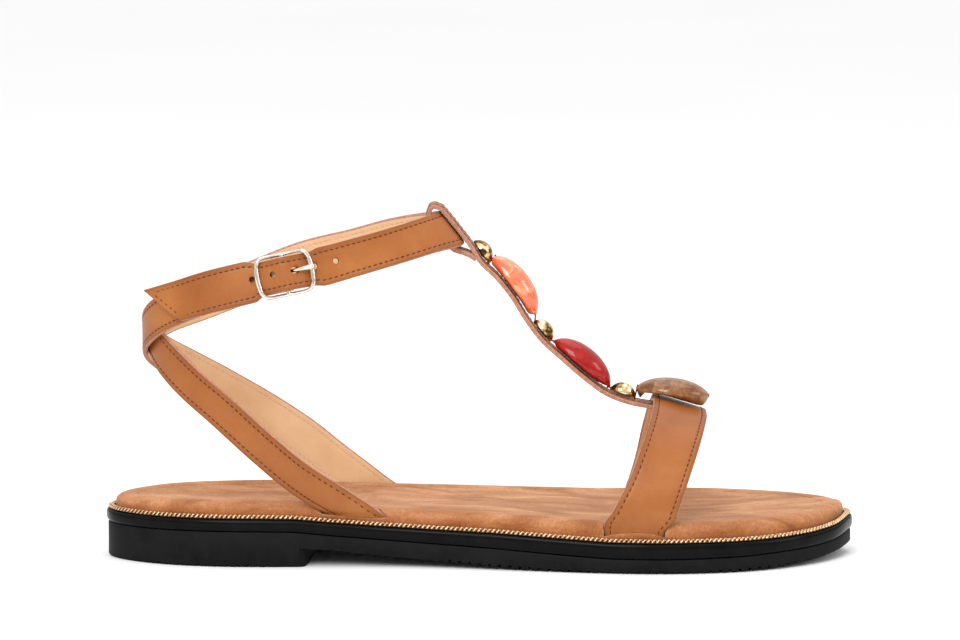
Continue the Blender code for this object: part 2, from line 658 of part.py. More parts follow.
def ankle_line(rows, side, spacing):
    """Line of an ankle strap on the foot, with its outward faces, side directions, widths and layers."""
    back = COLLAR_BACK - SOLE_LENGTH / 2
    fall = (rows[1][2] - rows[0][2]) * COLLAR_HEIGHT
    drift = (rows[0][0] - rows[1][0]) * COLLAR_LENGTH / fall
    height = rows[0][2] * COLLAR_HEIGHT - float(top_height(back + rows[0][0] * COLLAR_LENGTH))
    root = back + rows[0][0] * COLLAR_LENGTH + drift * (height - GAP - ROOT_BEND - STRAP_THICK / 2)
    tuck, slope, splay = root_line(root, side, drift)
    places = [(*point, rows[0][3], rows[0][4] * ANKLE_WIDTH, 0.0) for point in tuck[::-1]]
    for along, across, up, lean, width, layer in rows:
        places.append((back + along * COLLAR_LENGTH, across * COLLAR_WIDTH / 2, up * COLLAR_HEIGHT,
                       lean, width * ANKLE_WIDTH, layer * STRAP_THICK))
    line = smooth_line(places, spacing)
    centres = line[:, :3]
    middle = back + COLLAR_LENGTH / 2
    flat = np.stack([(centres[:, 0] - middle) / COLLAR_LENGTH**2, centres[:, 1] / COLLAR_WIDTH**2,
                     np.zeros(len(line))], axis=1)
    lean = np.radians(line[:, 3])[:, None]
    faces = unit(unit(flat) * np.cos(lean) + np.array((0.0, 0.0, 1.0)) * np.sin(lean))
    sides = unit(np.cross(faces, tangents(centres)))
    floor_side = np.array((1.0, splay, slope)) * side
    rise = np.clip((centres[:, 2] - tuck[0][2]) / ANKLE_WIDTH, 0.0, 1.0)[:, None]
    sides = unit(sides * rise + unit(floor_side) * (1 - rise))
    faces = unit(np.cross(tangents(centres), sides))
    return centres + faces * line[:, 5:6], faces, sides, line[:, 4]


def point_at(centres, walked, distance):
    return np.array([np.interp(distance, walked, column) for column in centres.T])


def buckle_station(centres, walked):
    """How far along the long strap the buckle's middle lies, on the outer side of the foot."""
    target = COLLAR_BACK - SOLE_LENGTH / 2 + BUCKLE_ALONG * COLLAR_LENGTH
    front = int(np.argmax(centres[:, 0]))
    return float(np.interp(-target, -centres[front:, 0], walked[front:]))


class Buckle:
    """Where the buckle lies on the long strap: its own directions and the levels of its bars."""

    def __init__(self, centres, faces):
        walked = line_lengths(centres)
        self.station = buckle_station(centres, walked)
        ahead = point_at(centres, walked, self.station - BUCKLE_LENGTH / 2)
        behind = point_at(centres, walked, self.station + BUCKLE_LENGTH / 2)
        middle = point_at(centres, walked, self.station)
        self.origin = (ahead + behind) / 2
        self.ahead = unit(ahead - behind)
        out = point_at(faces, walked, self.station)
        self.across = unit(np.cross(out, self.ahead))
        self.out = np.cross(self.ahead, self.across)
        self.bow = float(np.dot(middle - self.origin, self.out))
        self.under = self.bow - UNDER_LAYER * STRAP_THICK
        self.centre_bar = self.under + CENTRE_BAR / 2 + GAP + FOLD_THICK / 2
        self.hump = CENTRE_BAR / 2 + GAP + FOLD_THICK + GAP + STRAP_THICK / 2 + self.centre_bar - self.bow
        self.side_bar = STRAP_THICK / 2 + 1.5 * GAP + BUCKLE_BAR / 2

    def place(self, along, across, level):
        return self.origin + self.ahead * along + self.across * across + self.out * level


def long_strap_line():
    """The long ankle strap, humped over the buckle's centre bar and under its two side bars."""
    centres, faces, sides, widths = ankle_line(LONG_ROWS, -1, 3.6 * MM)
    buckle = Buckle(centres, faces)
    walked = line_lengths(centres)
    reach = BUCKLE_LENGTH / 2 * 0.98
    near = np.linspace(-reach, reach, 19) + buckle.station
    away = walked[(walked < near[0] - MM) | (walked > near[-1] + MM)]
    stations = np.sort(np.concatenate((away, near)))
    columns = np.hstack((centres, faces, sides, widths[:, None]))
    line = np.stack([np.interp(stations, walked, column) for column in columns.T], axis=1)
    distance = np.clip(np.abs(stations - buckle.station) / reach, 0.0, 1.0)
    rise = buckle.hump * (0.5 + 0.5 * np.cos(math.pi * distance))
    faces = unit(line[:, 3:6])
    far = np.clip((np.abs(stations - buckle.station) - reach) / (3 * MM), 0.0, 1.0)
    pinched = BUCKLE_PINCH * ANKLE_WIDTH
    widths = pinched + (line[:, 9] - pinched) * far
    return line[:, :3] + faces * rise[:, None], faces, unit(line[:, 6:9]), widths, buckle


def short_strap_line(buckle):
    """The short ankle strap, whose skived end folds round the buckle's centre bar."""
    centres, faces, sides, widths = ankle_line(SHORT_ROWS, 1, 3.6 * MM)
    turn = CENTRE_BAR / 2 + GAP + FOLD_THICK / 2
    level = buckle.centre_bar
    rows = [(-BUCKLE_LENGTH * 0.32, buckle.under - 0.02 * STRAP_THICK), (-BUCKLE_LENGTH * 0.15, buckle.under)]
    for angle in range(-90, 106, 15):
        rows.append((turn * math.cos(math.radians(angle)), level + turn * math.sin(math.radians(angle))))
    rows.append((-2.3 * MM, level + turn * 0.62))
    rows.append((-4.3 * MM, level + turn * 0.12))
    fold = np.array([buckle.place(along, 0.0, height) for along, height in rows])
    start = len(centres)
    centres = np.vstack((centres, fold))
    sides = np.vstack((sides, np.tile(buckle.across, (len(fold), 1))))
    widths = np.concatenate((widths, np.full(len(fold), SHORT_ROWS[-1][4] * ANKLE_WIDTH)))
    skive = np.clip((np.arange(len(centres)) - start + 4) / 4, 0.0, 1.0)
    return centres, sides, widths, STRAP_THICK + (FOLD_THICK - STRAP_THICK) * skive


def prong_line(buckle):
    """The prong from its knuckle round the centre bar, up through the strap and onto the front side bar."""
    turn = CENTRE_BAR / 2 + GAP + PRONG_BAR / 2
    level = buckle.centre_bar
    rows = []
    for angle in range(-75, -275, -18):
        rows.append((turn * math.cos(math.radians(angle)), level + turn * math.sin(math.radians(angle)), 1.0))
    rest = buckle.side_bar + BUCKLE_BAR / 2 + GAP + PRONG_BAR / 2 * PRONG_FLARE
    rows.append((PRONG_HOLE * 0.45, level + turn + (rest - level - turn) * 0.16, 1.0))
    rows.append((PRONG_HOLE, level + turn + (rest - level - turn) * 0.50, 1.05))
    rows.append((PRONG_HOLE * 1.6, level + turn + (rest - level - turn) * 0.88, 1.15))
    rows.append((BUCKLE_LENGTH * 0.42, rest, PRONG_FLARE))
    rows.append((BUCKLE_LENGTH / 2 + BUCKLE_BAR * 0.45, rest, PRONG_FLARE * 0.96))
    rows.append((BUCKLE_LENGTH / 2 + BUCKLE_BAR * 0.75, rest - 0.1 * MM, PRONG_FLARE * 0.75))
    points = np.array([buckle.place(along, HOLE_RAISE, height) for along, height, _ in rows])
    return points, np.array([share for _, _, share in rows]) * PRONG_BAR / 2


def make_ankle_straps(material):
    centres, faces, sides, widths, buckle = long_strap_line()
    straps = ribbon("upper_ankle_strap", centres, sides, widths, STRAP_THICK, material,
                    slant=-TIP_SLANT * ANKLE_WIDTH)
    roots = [root_cutter("long_strap_root", centres, sides, widths)]
    walked = line_lengths(centres)
    middle = float(np.interp(buckle.station, *long_stations(centres, buckle)))
    for k in range(HOLE_COUNT):
        if k != PRONG_HOLE_NUMBER:
            distance = middle - PRONG_HOLE + (PRONG_HOLE_NUMBER - k) * HOLE_PITCH
            centre = point_at(centres, walked, distance) + buckle.across * HOLE_RAISE
            face = unit(point_at(faces, walked, distance))
            reach = face * STRAP_THICK
            punch = [centre - reach, centre + reach]
            cut(straps, rod("hole_%d" % k, punch, HOLE_SIZE / 2, buckle.across, sides=12))
    prong, radii = prong_line(buckle)
    passing = rod("prong_room", prong[-8:], radii[-8:] + GAP * 1.2, buckle.across, sides=12)
    cut(straps, passing)
    centres, sides, widths, thick = short_strap_line(buckle)
    short = ribbon("short_strap", centres, sides, widths, thick)
    cut(short, fold_slot(buckle))
    roots.append(root_cutter("short_strap_root", centres, sides, widths))
    cut(straps, short, "UNION")
    return roots, buckle


def long_stations(centres, buckle):
    """Distances along the strap before and after it is humped over the buckle."""
    flat = ankle_line(LONG_ROWS, -1, 3.6 * MM)[0]
    target = point_at(flat, line_lengths(flat), buckle.station) + buckle.out * buckle.hump
    nearest = int(np.argmin(np.linalg.norm(centres - target, axis=1)))
    walked = line_lengths(centres)
    return [buckle.station - MM, buckle.station, buckle.station + MM], [walked[nearest] - MM, walked[nearest],
                                                                        walked[nearest] + MM]


def fold_slot(buckle):
    """The slot in the fold that the prong's knuckle turns in."""
    half = CENTRE_BAR / 2 + 2 * GAP + PRONG_BAR
    source = bmesh.new()
    bmesh.ops.create_cube(source, size=2.0)
    for vert in source.verts:
        along, across, level = vert.co
        vert.co = buckle.place(along * half, HOLE_RAISE + across * (PRONG_BAR / 2 + GAP),
                               buckle.centre_bar + level * half)
    return new_object("fold_slot", source)


def make_buckle(buckle, material):
    """The frame: two bowed side bars, two rails that dip between them, and the straight centre bar."""
    half_length = BUCKLE_LENGTH / 2
    half_width = ANKLE_WIDTH * BUCKLE_PINCH / 2 + 1.6 * GAP + RAIL_BAR / 2
    quarter = ((1.0, 0.0), (0.985, 0.35), (0.95, 0.68), (BUCKLE_CORNER, 0.95), (BUCKLE_CORNER * 0.78, 1.0),
               (0.40, 1.0), (0.20, 1.0))
    upper = list(quarter) + [(0.0, 1.0)] + [(-along, across) for along, across in reversed(quarter)]
    ring = upper + [(along, -across) for along, across in reversed(upper[1:-1])]
    dip = buckle.side_bar - buckle.centre_bar
    points = []
    radii = []
    for along, across in ring:
        side = min(1.0, abs(along) / BUCKLE_CORNER)
        level = buckle.side_bar - dip * (1 - side**2)
        points.append(buckle.place(along * half_length, across * half_width, level))
        radii.append(RAIL_BAR / 2 + (BUCKLE_BAR - RAIL_BAR) / 2 * max(0.0, 1 - abs(across)**3))
    frame = rod("buckle_frame", points, radii, buckle.out, material, closed=True)
    bar = [buckle.place(0.0, side * half_width, buckle.centre_bar) for side in (-1, 1)]
    cut(frame, rod("centre_bar", bar, CENTRE_BAR / 2, buckle.out), "UNION")
    prong, radii = prong_line(buckle)
    rod("buckle_prong", prong, radii, buckle.across, material, sides=8)


# Stones


def make_stone(name, forward, size, material):
    """A cabochon or bead: a lens with drawn-out ends, seated on the T-bar or on the vamp strap's top."""
    length, width, height = size
    line = t_line()[:, :3]
    middle = instep_place(forward)
    surface = line[:np.argmax(line[:, 2])][::-1]
    crest = max(VAMP_ROWS, key=lambda row: row[2])
    edge = VAMP_WIDTH * crest[3] / 2 + GAP
    crest_x = (crest[0] - 0.5) * SOLE_LENGTH
    x = np.linspace(surface[0, 0], crest_x + edge, 240)
    heights = np.interp(x, surface[:, 0], surface[:, 2]) + T_THICK / 2 * slope_factor(surface, x)
    on_vamp = x > crest_x - edge
    vamp = VAMP_HEIGHT + STRAP_THICK / 2 - crest[4] * (x - crest_x)
    heights = np.where(on_vamp, np.maximum(heights, vamp), heights)
    angle = 0.0
    for _ in range(4):
        reach = length * 0.40 * math.cos(angle)
        low, high = np.interp((middle - reach, middle + reach), x, heights)
        angle = math.atan2(high - low, 2 * reach)
    ahead = np.array((math.cos(angle), 0.0, math.sin(angle)))
    up = np.array((-math.sin(angle), 0.0, math.cos(angle)))
    origin = np.array((middle, 0.0, float(np.interp(middle, x, heights))))
    belly = height * STONE_BELLY
    profile = np.stack([x, np.zeros(len(x)), heights], axis=1) - origin
    along = profile @ ahead
    under = belly * np.sqrt(np.clip(1 - (2 * along / length)**2, 0.0, 1.0))
    inside = np.abs(along) < length / 2
    lift = float(np.max((profile @ up + under)[inside])) + GAP
    source = bmesh.new()
    bmesh.ops.create_uvsphere(source, u_segments=12, v_segments=9, radius=1.0,
                              matrix=Matrix.Rotation(math.radians(90), 4, "Y"))
    for vert in source.verts:
        point = vert.co
        taper = 1 - 0.18 * abs(point.x)**3
        if point.z < 0:
            near = point.x * length / 2 + np.linspace(-length / 8, length / 8, 9)
            room = lift - GAP - float(np.max(np.interp(near, along, profile @ up)))
            rise = point.z * room / max(math.sqrt(max(0.0, 1 - point.x**2)), 0.5)
        else:
            rise = point.z * (height - belly) * taper
        beside = np.array((0.0, point.y * width / 2 * taper, 0.0))
        vert.co = origin + ahead * point.x * length / 2 + beside + up * (lift + rise)
    return new_object(name, source, material)


def slope_factor(surface, x):
    """How much thicker a sloping strap is, measured straight up."""
    slope = np.gradient(surface[:, 2], surface[:, 0])
    return np.sqrt(1 + np.interp(x, surface[:, 0], slope)**2)


def main():
    for shape in list(bpy.data.objects):
        bpy.data.objects.remove(shape, do_unlink=True)
    rubber = new_material("rubber_black", (0.012, 0.012, 0.014), 0.55)
    welt = new_material("welt_black", (0.006, 0.006, 0.007), 0.18)
    suede = new_material("suede_tan", (0.45, 0.20, 0.085), 0.95)
    leather = new_material("leather_tan", (0.36, 0.15, 0.052), 0.5)
    silver = new_material("buckle_silver", (0.82, 0.78, 0.72), 0.2, 1.0)
    stones = {
        "gold": new_material("gold", (0.85, 0.60, 0.30), 0.22, 1.0),
        "coral": new_material("coral", (0.80, 0.20, 0.09), 0.15),
        "carnelian": new_material("carnelian", (0.35, 0.012, 0.010), 0.1),
        "jasper": new_material("jasper", (0.23, 0.09, 0.035), 0.2),
    }
    make_outsole(rubber)
    make_midsole(welt)
    make_trim(stones["gold"])
    roots = make_t_strap(leather)
    ankle_roots, buckle = make_ankle_straps(leather)
    make_buckle(buckle, silver)
    make_footbed(suede, roots + ankle_roots)
    for name, forward, size, stone in STONE_PLACES:
        make_stone(name, forward, size, stones[stone])


main()
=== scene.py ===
"""The t strap sandal as it is made: stitched two-ply straps, beaded welt, padded suede footbed and stones.

Metres, +Z up, toe along +X, buckle side along -Y. The tables below are the ones that the solids are drawn
from, so that every piece lies where its solid lies.
"""
import math

import bmesh
import bpy
import numpy as np
from mathutils import Matrix, Vector, noise


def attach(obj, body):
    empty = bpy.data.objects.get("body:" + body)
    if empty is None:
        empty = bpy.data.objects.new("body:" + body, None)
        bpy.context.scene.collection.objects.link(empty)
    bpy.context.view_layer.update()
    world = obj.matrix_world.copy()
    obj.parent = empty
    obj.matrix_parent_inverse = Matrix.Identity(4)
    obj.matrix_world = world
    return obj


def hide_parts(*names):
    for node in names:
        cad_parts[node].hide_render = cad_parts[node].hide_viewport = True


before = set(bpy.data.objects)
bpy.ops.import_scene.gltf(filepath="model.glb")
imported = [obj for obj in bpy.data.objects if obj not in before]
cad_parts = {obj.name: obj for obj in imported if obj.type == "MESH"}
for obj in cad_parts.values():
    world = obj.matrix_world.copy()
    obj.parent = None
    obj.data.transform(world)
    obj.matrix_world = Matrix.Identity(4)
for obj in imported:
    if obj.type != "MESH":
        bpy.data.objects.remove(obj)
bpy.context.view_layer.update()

MM = 0.001

# Sole, overall
SOLE_LENGTH = 259.5 * MM
BALL_WIDTH = 90 * MM
HEEL_TOP = 16.4 * MM
ARCH_RISE = 6.2 * MM
TOE_SPRING = 4.6 * MM
MIDSOLE_THICK = 5.2 * MM
HEEL_BREAST = 70 * MM
BREAST_SLANT = 4.5 * MM
HEEL_CORNER = 4 * MM
OUTSOLE_INSET = 0.6 * MM
OUTSOLE_EDGE = 0.8 * MM      # rounding of the ground edge
OUTSOLE_RIM = 0.25 * MM      # bevel under the midsole
MIDSOLE_ROUND = 0.9 * MM
GAP = 0.3 * MM

# Bead trim and footbed
TRIM_INSET = 0.6 * MM
TRIM_WIDTH = 2.4 * MM
FOOTBED_HEIGHT = 5.9 * MM
FOOTBED_DISH = 2.2 * MM
ROOT_SHADE_PLACE = (-34 * MM, 27 * MM)    # painted shade: the darker patch beside the inner strap's root, where it goes down into the footbed
ROOT_SHADE_SIZE = (11 * MM, 7 * MM)
ARCH_LIFT = 1.4 * MM

# Straps
STRAP_THICK = 1.8 * MM
ANKLE_WIDTH = 14 * MM
VAMP_WIDTH = 19 * MM
VAMP_HEIGHT = 52.2 * MM
T_WIDTH = 12.5 * MM
T_THICK = 1.6 * MM
T_SINK = 0.45 * MM
COLLAR_HEIGHT = 114 * MM
COLLAR_LENGTH = 104 * MM
COLLAR_WIDTH = 61 * MM
COLLAR_BACK = 15.5 * MM
ROOT_BEND = 2 * MM
LASTING = 6 * MM            # how far a strap runs in under the footbed
HOLE_SIZE = 2.0 * MM
HOLE_IN_USE = 1.12          # the hole that the prong passes is worn wider
HOLE_PITCH = 7.6 * MM
HOLE_COUNT = 5
TIP_SLANT = 0.85
SEAM_INSET = 1.9 * MM       # stitch rows, in from the strap's edge
STITCH_PITCH = 2.0 * MM
STITCH_LENGTH = 1.42 * MM
THREAD = 0.46 * MM
THREAD_PROUD = 0.05 * MM
ROW_LEVEL = 0.435           # share of the thickness where a row beside the edge lies, in its groove
END_LEVEL = 0.46            # the same for the row across a strap's end
SEAM_START = ROOT_BEND * math.pi / 2 + LASTING * 0.9

# Buckle
BUCKLE_LENGTH = 18.8 * MM
BUCKLE_CORNER = 0.80
BUCKLE_BAR = 1.7 * MM
RAIL_BAR = 1.2 * MM
CENTRE_BAR = 1.4 * MM
PRONG_BAR = 1.2 * MM
FOLD_THICK = 1.2 * MM
BUCKLE_PINCH = 0.83
HOLE_RAISE = 0.6 * MM
BUCKLE_ALONG = 0.463
UNDER_LAYER = 1.17
PRONG_HOLE = 3.6 * MM
PRONG_HOLE_NUMBER = 2
PRONG_FLARE = 1.5

# Stones and beads along the T-bar: length, width, height
CORAL_SIZE = (24.3 * MM, 12.5 * MM, 7.2 * MM)
RED_SIZE = (24.6 * MM, 13.0 * MM, 7.6 * MM)
JASPER_SIZE = (25.0 * MM, 15.5 * MM, 6.2 * MM)
GOLD_SIZE = (8.9 * MM, 6.6 * MM, 4.3 * MM)
STONE_BELLY = 0.22          # share of a stone's height below its rim
KNOB_SIZE = 0.85 * MM       # radius of the drilled knob at each end
GOLD_KNOB_SIZE = 0.7 * MM
KNOB_SINK = 0.25 * MM
STRAND = 0.24 * MM          # radius of one strand of the thread between stones
STONE_PLACES = (
    # node, forward as in T_ROWS, size, finish
    ("gold_bead_1", -0.0011, GOLD_SIZE, "gold"),
    ("stone_coral", 0.0405, CORAL_SIZE, "coral"),
    ("gold_bead_2", 0.0805, GOLD_SIZE, "gold"),
    ("stone_red", 0.1312, RED_SIZE, "carnelian"),
    ("gold_bead_3", 0.1893, GOLD_SIZE, "gold"),
    ("stone_jasper", 0.2562, JASPER_SIZE, "jasper"),
)

# along: share of the sole's length. outer, inner: shares of half the ball width. top: share of HEEL_TOP.
# under: share of ARCH_RISE. thick: share of MIDSOLE_THICK.
SOLE_SECTIONS = (
    # along, outer, inner, top, under, thick
    (0.008, 0.175, 0.180, 1.000, 1.25, 0.78),
    (0.030, 0.330, 0.330, 1.000, 1.25, 0.78),
    (0.060, 0.455, 0.460, 0.998, 1.25, 0.78),
    (0.095, 0.550, 0.555, 0.998, 1.25, 0.78),
    (0.143, 0.622, 0.627, 1.000, 1.25, 0.78),
    (0.210, 0.652, 0.658, 1.000, 1.17, 0.78),
    (0.255, 0.648, 0.660, 0.990, 1.08, 0.78),
    (0.300, 0.642, 0.662, 0.925, 0.98, 0.80),
    (0.364, 0.640, 0.672, 0.850, 0.67, 0.82),
    (0.440, 0.680, 0.722, 0.790, 0.42, 0.88),
    (0.520, 0.768, 0.806, 0.752, 0.20, 0.94),
    (0.600, 0.866, 0.911, 0.690, 0.04, 1.00),
    (0.670, 0.938, 0.990, 0.634, 0.00, 1.00),
    (0.733, 0.964, 1.032, 0.626, 0.00, 1.00),
    (0.790, 0.940, 1.026, 0.630, 0.00, 0.98),
    (0.849, 0.858, 0.956, 0.636, 0.08, 0.94),
    (0.900, 0.711, 0.833, 0.650, 0.17, 0.88),
    (0.942, 0.520, 0.678, 0.676, 0.26, 0.88),
    (0.973, 0.311, 0.500, 0.728, 0.42, 0.88),
    (0.992, 0.078, 0.289, 0.810, 0.60, 0.88),
)
HEEL_TIP = (0.0, 0.0)
TOE_TIP = (1.0, 0.11)
MIDDLE_SHIFT = (max(row[1] for row in SOLE_SECTIONS) - max(row[2] for row in SOLE_SECTIONS)) * BALL_WIDTH / 4

# Vamp strap. along: share of the sole's length. across: share of half the ball width. up: share of
# VAMP_HEIGHT. width: share of VAMP_WIDTH. fall: how much it falls towards the toe across its width.
VAMP_ROWS = (
    # along, across, up, width, fall
    (0.7150, -0.905, 0.400, 1.05, 0.00),
    (0.7300, -0.872, 0.560, 1.00, 0.03),
    (0.7450, -0.765, 0.745, 0.98, 0.11),
    (0.7570, -0.580, 0.892, 0.98, 0.22),
    (0.7640, -0.330, 0.974, 1.00, 0.29),
    (0.7665, 0.000, 1.000, 1.02, 0.31),
    (0.7660, 0.330, 0.968, 1.00, 0.29),
    (0.7620, 0.620, 0.868, 0.98, 0.22),
    (0.7560, 0.845, 0.705, 0.98, 0.11),
    (0.7500, 0.950, 0.530, 1.00, 0.03),
    (0.7440, 0.962, 0.380, 1.06, 0.00),
)
VAMP_ROOT_OUTER = 0.702
VAMP_ROOT_INNER = 0.738
# T-bar. forward: from the middle of the sole, share of its length. up: from the vamp strap to the ankle
# strap, as a share of that height.
T_FRONT = -0.0395           # forward: the ankle strap's front
T_ROWS = (
    # forward, up
    (0.2760, -0.006),
    (0.2500, 0.006),
    (0.2270, 0.022),
    (0.2000, 0.044),
    (0.1690, 0.092),
    (0.1395, 0.180),
    (0.1100, 0.285),
    (0.0820, 0.392),
    (0.0610, 0.508),
    (0.0425, 0.632),
    (0.0220, 0.737),
    (0.0010, 0.822),
)
# The loop over the ankle strap. down: share of ANKLE_WIDTH. out: in strap thicknesses.
LOOP_ROWS = (
    # down, out
    (0.62, 1.19),
    (0.20, 1.23),
    (-0.28, 1.20),
    (-0.57, 0.95),
    (-0.71, 0.00),
    (-0.64, -1.30),
    (-0.32, -2.06),
    (0.15, -2.14),
    (0.44, -1.86),
    (0.64, -0.88),
    (0.80, -0.12),
    (0.98, 0.34),
)
# Ankle straps. along: from the back of the collar, share of COLLAR_LENGTH. across: share of half its width.
# up: share of COLLAR_HEIGHT. lean: upward tilt in degrees. width: share of ANKLE_WIDTH. layer: how many strap
# thicknesses it lies out from the foot.
LONG_ROWS = (
    # along, across, up, lean, width, layer
    (0.670, -0.820, 0.168, -6, 0.80, 0.0),
    (0.595, -0.860, 0.212, -6, 0.84, 0.0),
    (0.500, -0.920, 0.272, -4, 0.82, 0.0),
    (0.385, -0.945, 0.361, 1, 0.82, 0.0),
    (0.256, -0.865, 0.466, 3, 0.84, 0.0),
    (0.132, -0.650, 0.557, 3, 0.86, 0.0),
    (0.036, -0.300, 0.642, 2, 0.90, 0.0),
    (0.000, 0.080, 0.690, 2, 0.93, 0.0),
    (0.045, 0.470, 0.717, 2, 0.96, 0.0),
    (0.170, 0.790, 0.755, 4, 0.98, 0.0),
    (0.330, 0.930, 0.810, 6, 1.0, 0.0),
    (0.510, 0.960, 0.872, 9, 1.0, 0.0),
    (0.690, 0.860, 0.917, 14, 1.0, 0.0),
    (0.830, 0.680, 0.956, 22, 1.0, 0.0),
    (0.935, 0.480, 0.980, 32, 1.0, 0.0),
    (0.993, 0.240, 0.993, 38, 1.0, 0.0),
    (1.000, 0.000, 0.998, 38, 1.0, 0.0),
    (0.993, -0.240, 0.999, 38, 1.0, 0.0),
    (0.935, -0.480, 0.990, 32, 0.95, 0.0),
    (0.830, -0.680, 0.965, 22, 0.92, 0.0),
    (0.690, -0.850, 0.932, 13, 0.92, 0.35),
    (0.575, -0.930, 0.905, 9, 0.95, 1.0),
    (0.463, -0.965, 0.885, 7, 1.0, 1.17),
    (0.340, -0.945, 0.858, 6, 1.04, 1.17),
    (0.220, -0.870, 0.828, 5, 1.04, 1.22),
    (0.140, -0.770, 0.803, 4, 1.02, 1.40),
    (0.074, -0.650, 0.781, 4, 1.0, 1.70),
)
SHORT_ROWS = (
    # along, across, up, lean, width, layer
    (0.690, 0.850, 0.196, -6, 0.88, 0.0),
    (0.615, 0.890, 0.240, -6, 1.00, 0.0),
    (0.500, 0.960, 0.318, -3, 1.04, 0.0),
    (0.372, 0.970, 0.399, 1, 0.99, 0.0),
    (0.252, 0.880, 0.472, 3, 0.92, 0.1),
    (0.130, 0.670, 0.546, 3, 0.86, 0.50),
    (0.040, 0.330, 0.609, 2, 0.88, 0.80),
    (0.000, -0.060, 0.675, 2, 0.90, 0.80),
    (0.036, -0.430, 0.737, 3, 0.90, 0.50),
    (0.120, -0.710, 0.787, 4, 0.90, 0.1),
    (0.220, -0.870, 0.824, 5, 0.88, 0.0),
    (0.310, -0.940, 0.850, 6, 0.86, 0.0),
    (0.360, -0.952, 0.862, 6, 0.83, 0.0),
)

OUTLINE_STEPS = 320
STRAP_STEP = 1.3 * MM
STRAP_TURN = 8              # degrees between stations where a strap bends
SOLID_STEP = 3.6 * MM       # the solids' own stations along the ankle straps
SOLID_T_STEP = 4 * MM
SOLID_T_TURN = 18


# Lines of the shoe


def unit(vectors):
    return vectors / np.linalg.norm(vectors, axis=-1, keepdims=True)


def tangents(points):
    return unit(np.gradient(points, axis=0))


def line_lengths(points):
    return np.concatenate(([0.0], np.cumsum(np.linalg.norm(np.diff(points, axis=0), axis=1))))


def point_at(columns, walked, distance):
    return np.array([np.interp(distance, walked, column) for column in columns.T])


def smooth_line(rows, spacing, turn=24):
    """A smooth curve through a table's rows, read closer where it turns."""
    rows = np.asarray(rows, float)
    knots = line_lengths(rows[:, :3])
    slopes = np.gradient(rows, knots, axis=0)
    fine = np.linspace(0.0, knots[-1], 40 * len(rows))
    span = np.clip(np.searchsorted(knots, fine, side="right") - 1, 0, len(rows) - 2)
    width = (knots[span + 1] - knots[span])[:, None]
    t = (fine - knots[span])[:, None] / width
    curve = ((2 * t**3 - 3 * t**2 + 1) * rows[span] + (t**3 - 2 * t**2 + t) * width * slopes[span]
             + (3 * t**2 - 2 * t**3) * rows[span + 1] + (t**3 - t**2) * width * slopes[span + 1])
    steps = np.diff(curve[:, :3], axis=0)
    heading = unit(steps)
    bend = np.degrees(np.arccos(np.clip(np.sum(heading[1:] * heading[:-1], axis=1), -1.0, 1.0)))
    effort = np.linalg.norm(steps, axis=1) / spacing + np.concatenate(([0.0], bend)) / turn
    walked = np.concatenate(([0.0], np.cumsum(effort)))
    stations = np.linspace(0.0, walked[-1], max(2, round(walked[-1])) + 1)
    return np.stack([np.interp(stations, walked, column) for column in curve.T], axis=1)


def closed_line(rows, spacing, steps):
    """A closed smooth curve through a ring of rows, read at even steps."""
    rows = list(rows)
    curve = smooth_line(rows[-3:] + rows + rows[:4], spacing)
    third = len(curve) // 3
    start = np.argmin(np.linalg.norm(curve[:third, :3] - np.array(rows[0][:3]), axis=1))
    finish = third + np.argmin(np.linalg.norm(curve[third:, :3] - curve[start, :3], axis=1))
    ring = curve[start:finish + 1]
    walked = line_lengths(ring[:, :3])
    stations = np.linspace(0.0, walked[-1], steps, endpoint=False)
    return np.stack([np.interp(stations, walked, column) for column in ring.T], axis=1)


def sole_column(column, along):
    table = np.array(SOLE_SECTIONS)
    return np.interp(along, table[:, 0], table[:, column])


def along_of(x):
    return x / SOLE_LENGTH + 0.5


def top_height(x):
    return HEEL_TOP * sole_column(3, along_of(x))


def seam_height(x):
    return top_height(x) - MIDSOLE_THICK * sole_column(5, along_of(x))


def under_height(x):
    share = along_of(x)
    toe = np.clip((share - 0.75) / 0.25, 0.0, 1.0)
    spring = TOE_SPRING * (0.35 * toe + 0.65 * toe**5)
    return np.where(share > 0.75, spring, ARCH_RISE * sole_column(4, share))


def half_width(x, side):
    return sole_column(1 if side < 0 else 2, along_of(x)) * BALL_WIDTH / 2


def sole_outline(steps=OUTLINE_STEPS):
    """The midsole's edge seen from above, with its outward directions."""
    corners = [HEEL_TIP] + [(row[0], -row[1]) for row in SOLE_SECTIONS]
    corners += [TOE_TIP] + [(row[0], row[2]) for row in reversed(SOLE_SECTIONS)]
    rows = [((along - 0.5) * SOLE_LENGTH, across * BALL_WIDTH / 2, 0.0) for along, across in corners]
    points = closed_line(rows, SOLE_LENGTH / 900, steps)[:, :2]
    along = unit(np.roll(points, -1, axis=0) - np.roll(points, 1, axis=0))
    return points, np.stack([along[:, 1], -along[:, 0]], axis=1)


OUTLINE = sole_outline()


def spine_points(points):
    """For each point of the outline, its place on the sole's middle line."""
    partner = np.roll(points[::-1], 1, axis=0)
    x = np.clip((points[:, 0] + partner[:, 0]) * 0.45, -SOLE_LENGTH * 0.37, SOLE_LENGTH * 0.33)
    return np.stack([x, (half_width(x, 1) - half_width(x, -1)) / 2], axis=1)


def footbed_crest(x, y):
    arch = np.exp(-(((along_of(x) - 0.40) / 0.13)**2)) * np.clip(y / (BALL_WIDTH * 0.3), 0.0, 1.0)
    front = np.clip((along_of(x) - 0.30) / 0.30, 0.0, 1.0)
    ends = np.clip(1.0 - along_of(x) / 0.10, 0.0, 1.0)**2 + np.clip(along_of(x) / 0.10 - 9.0, 0.0, 1.0)**2
    return top_height(x) + FOOTBED_HEIGHT * (1 + 0.14 * front - 0.20 * ends) + ARCH_LIFT * arch


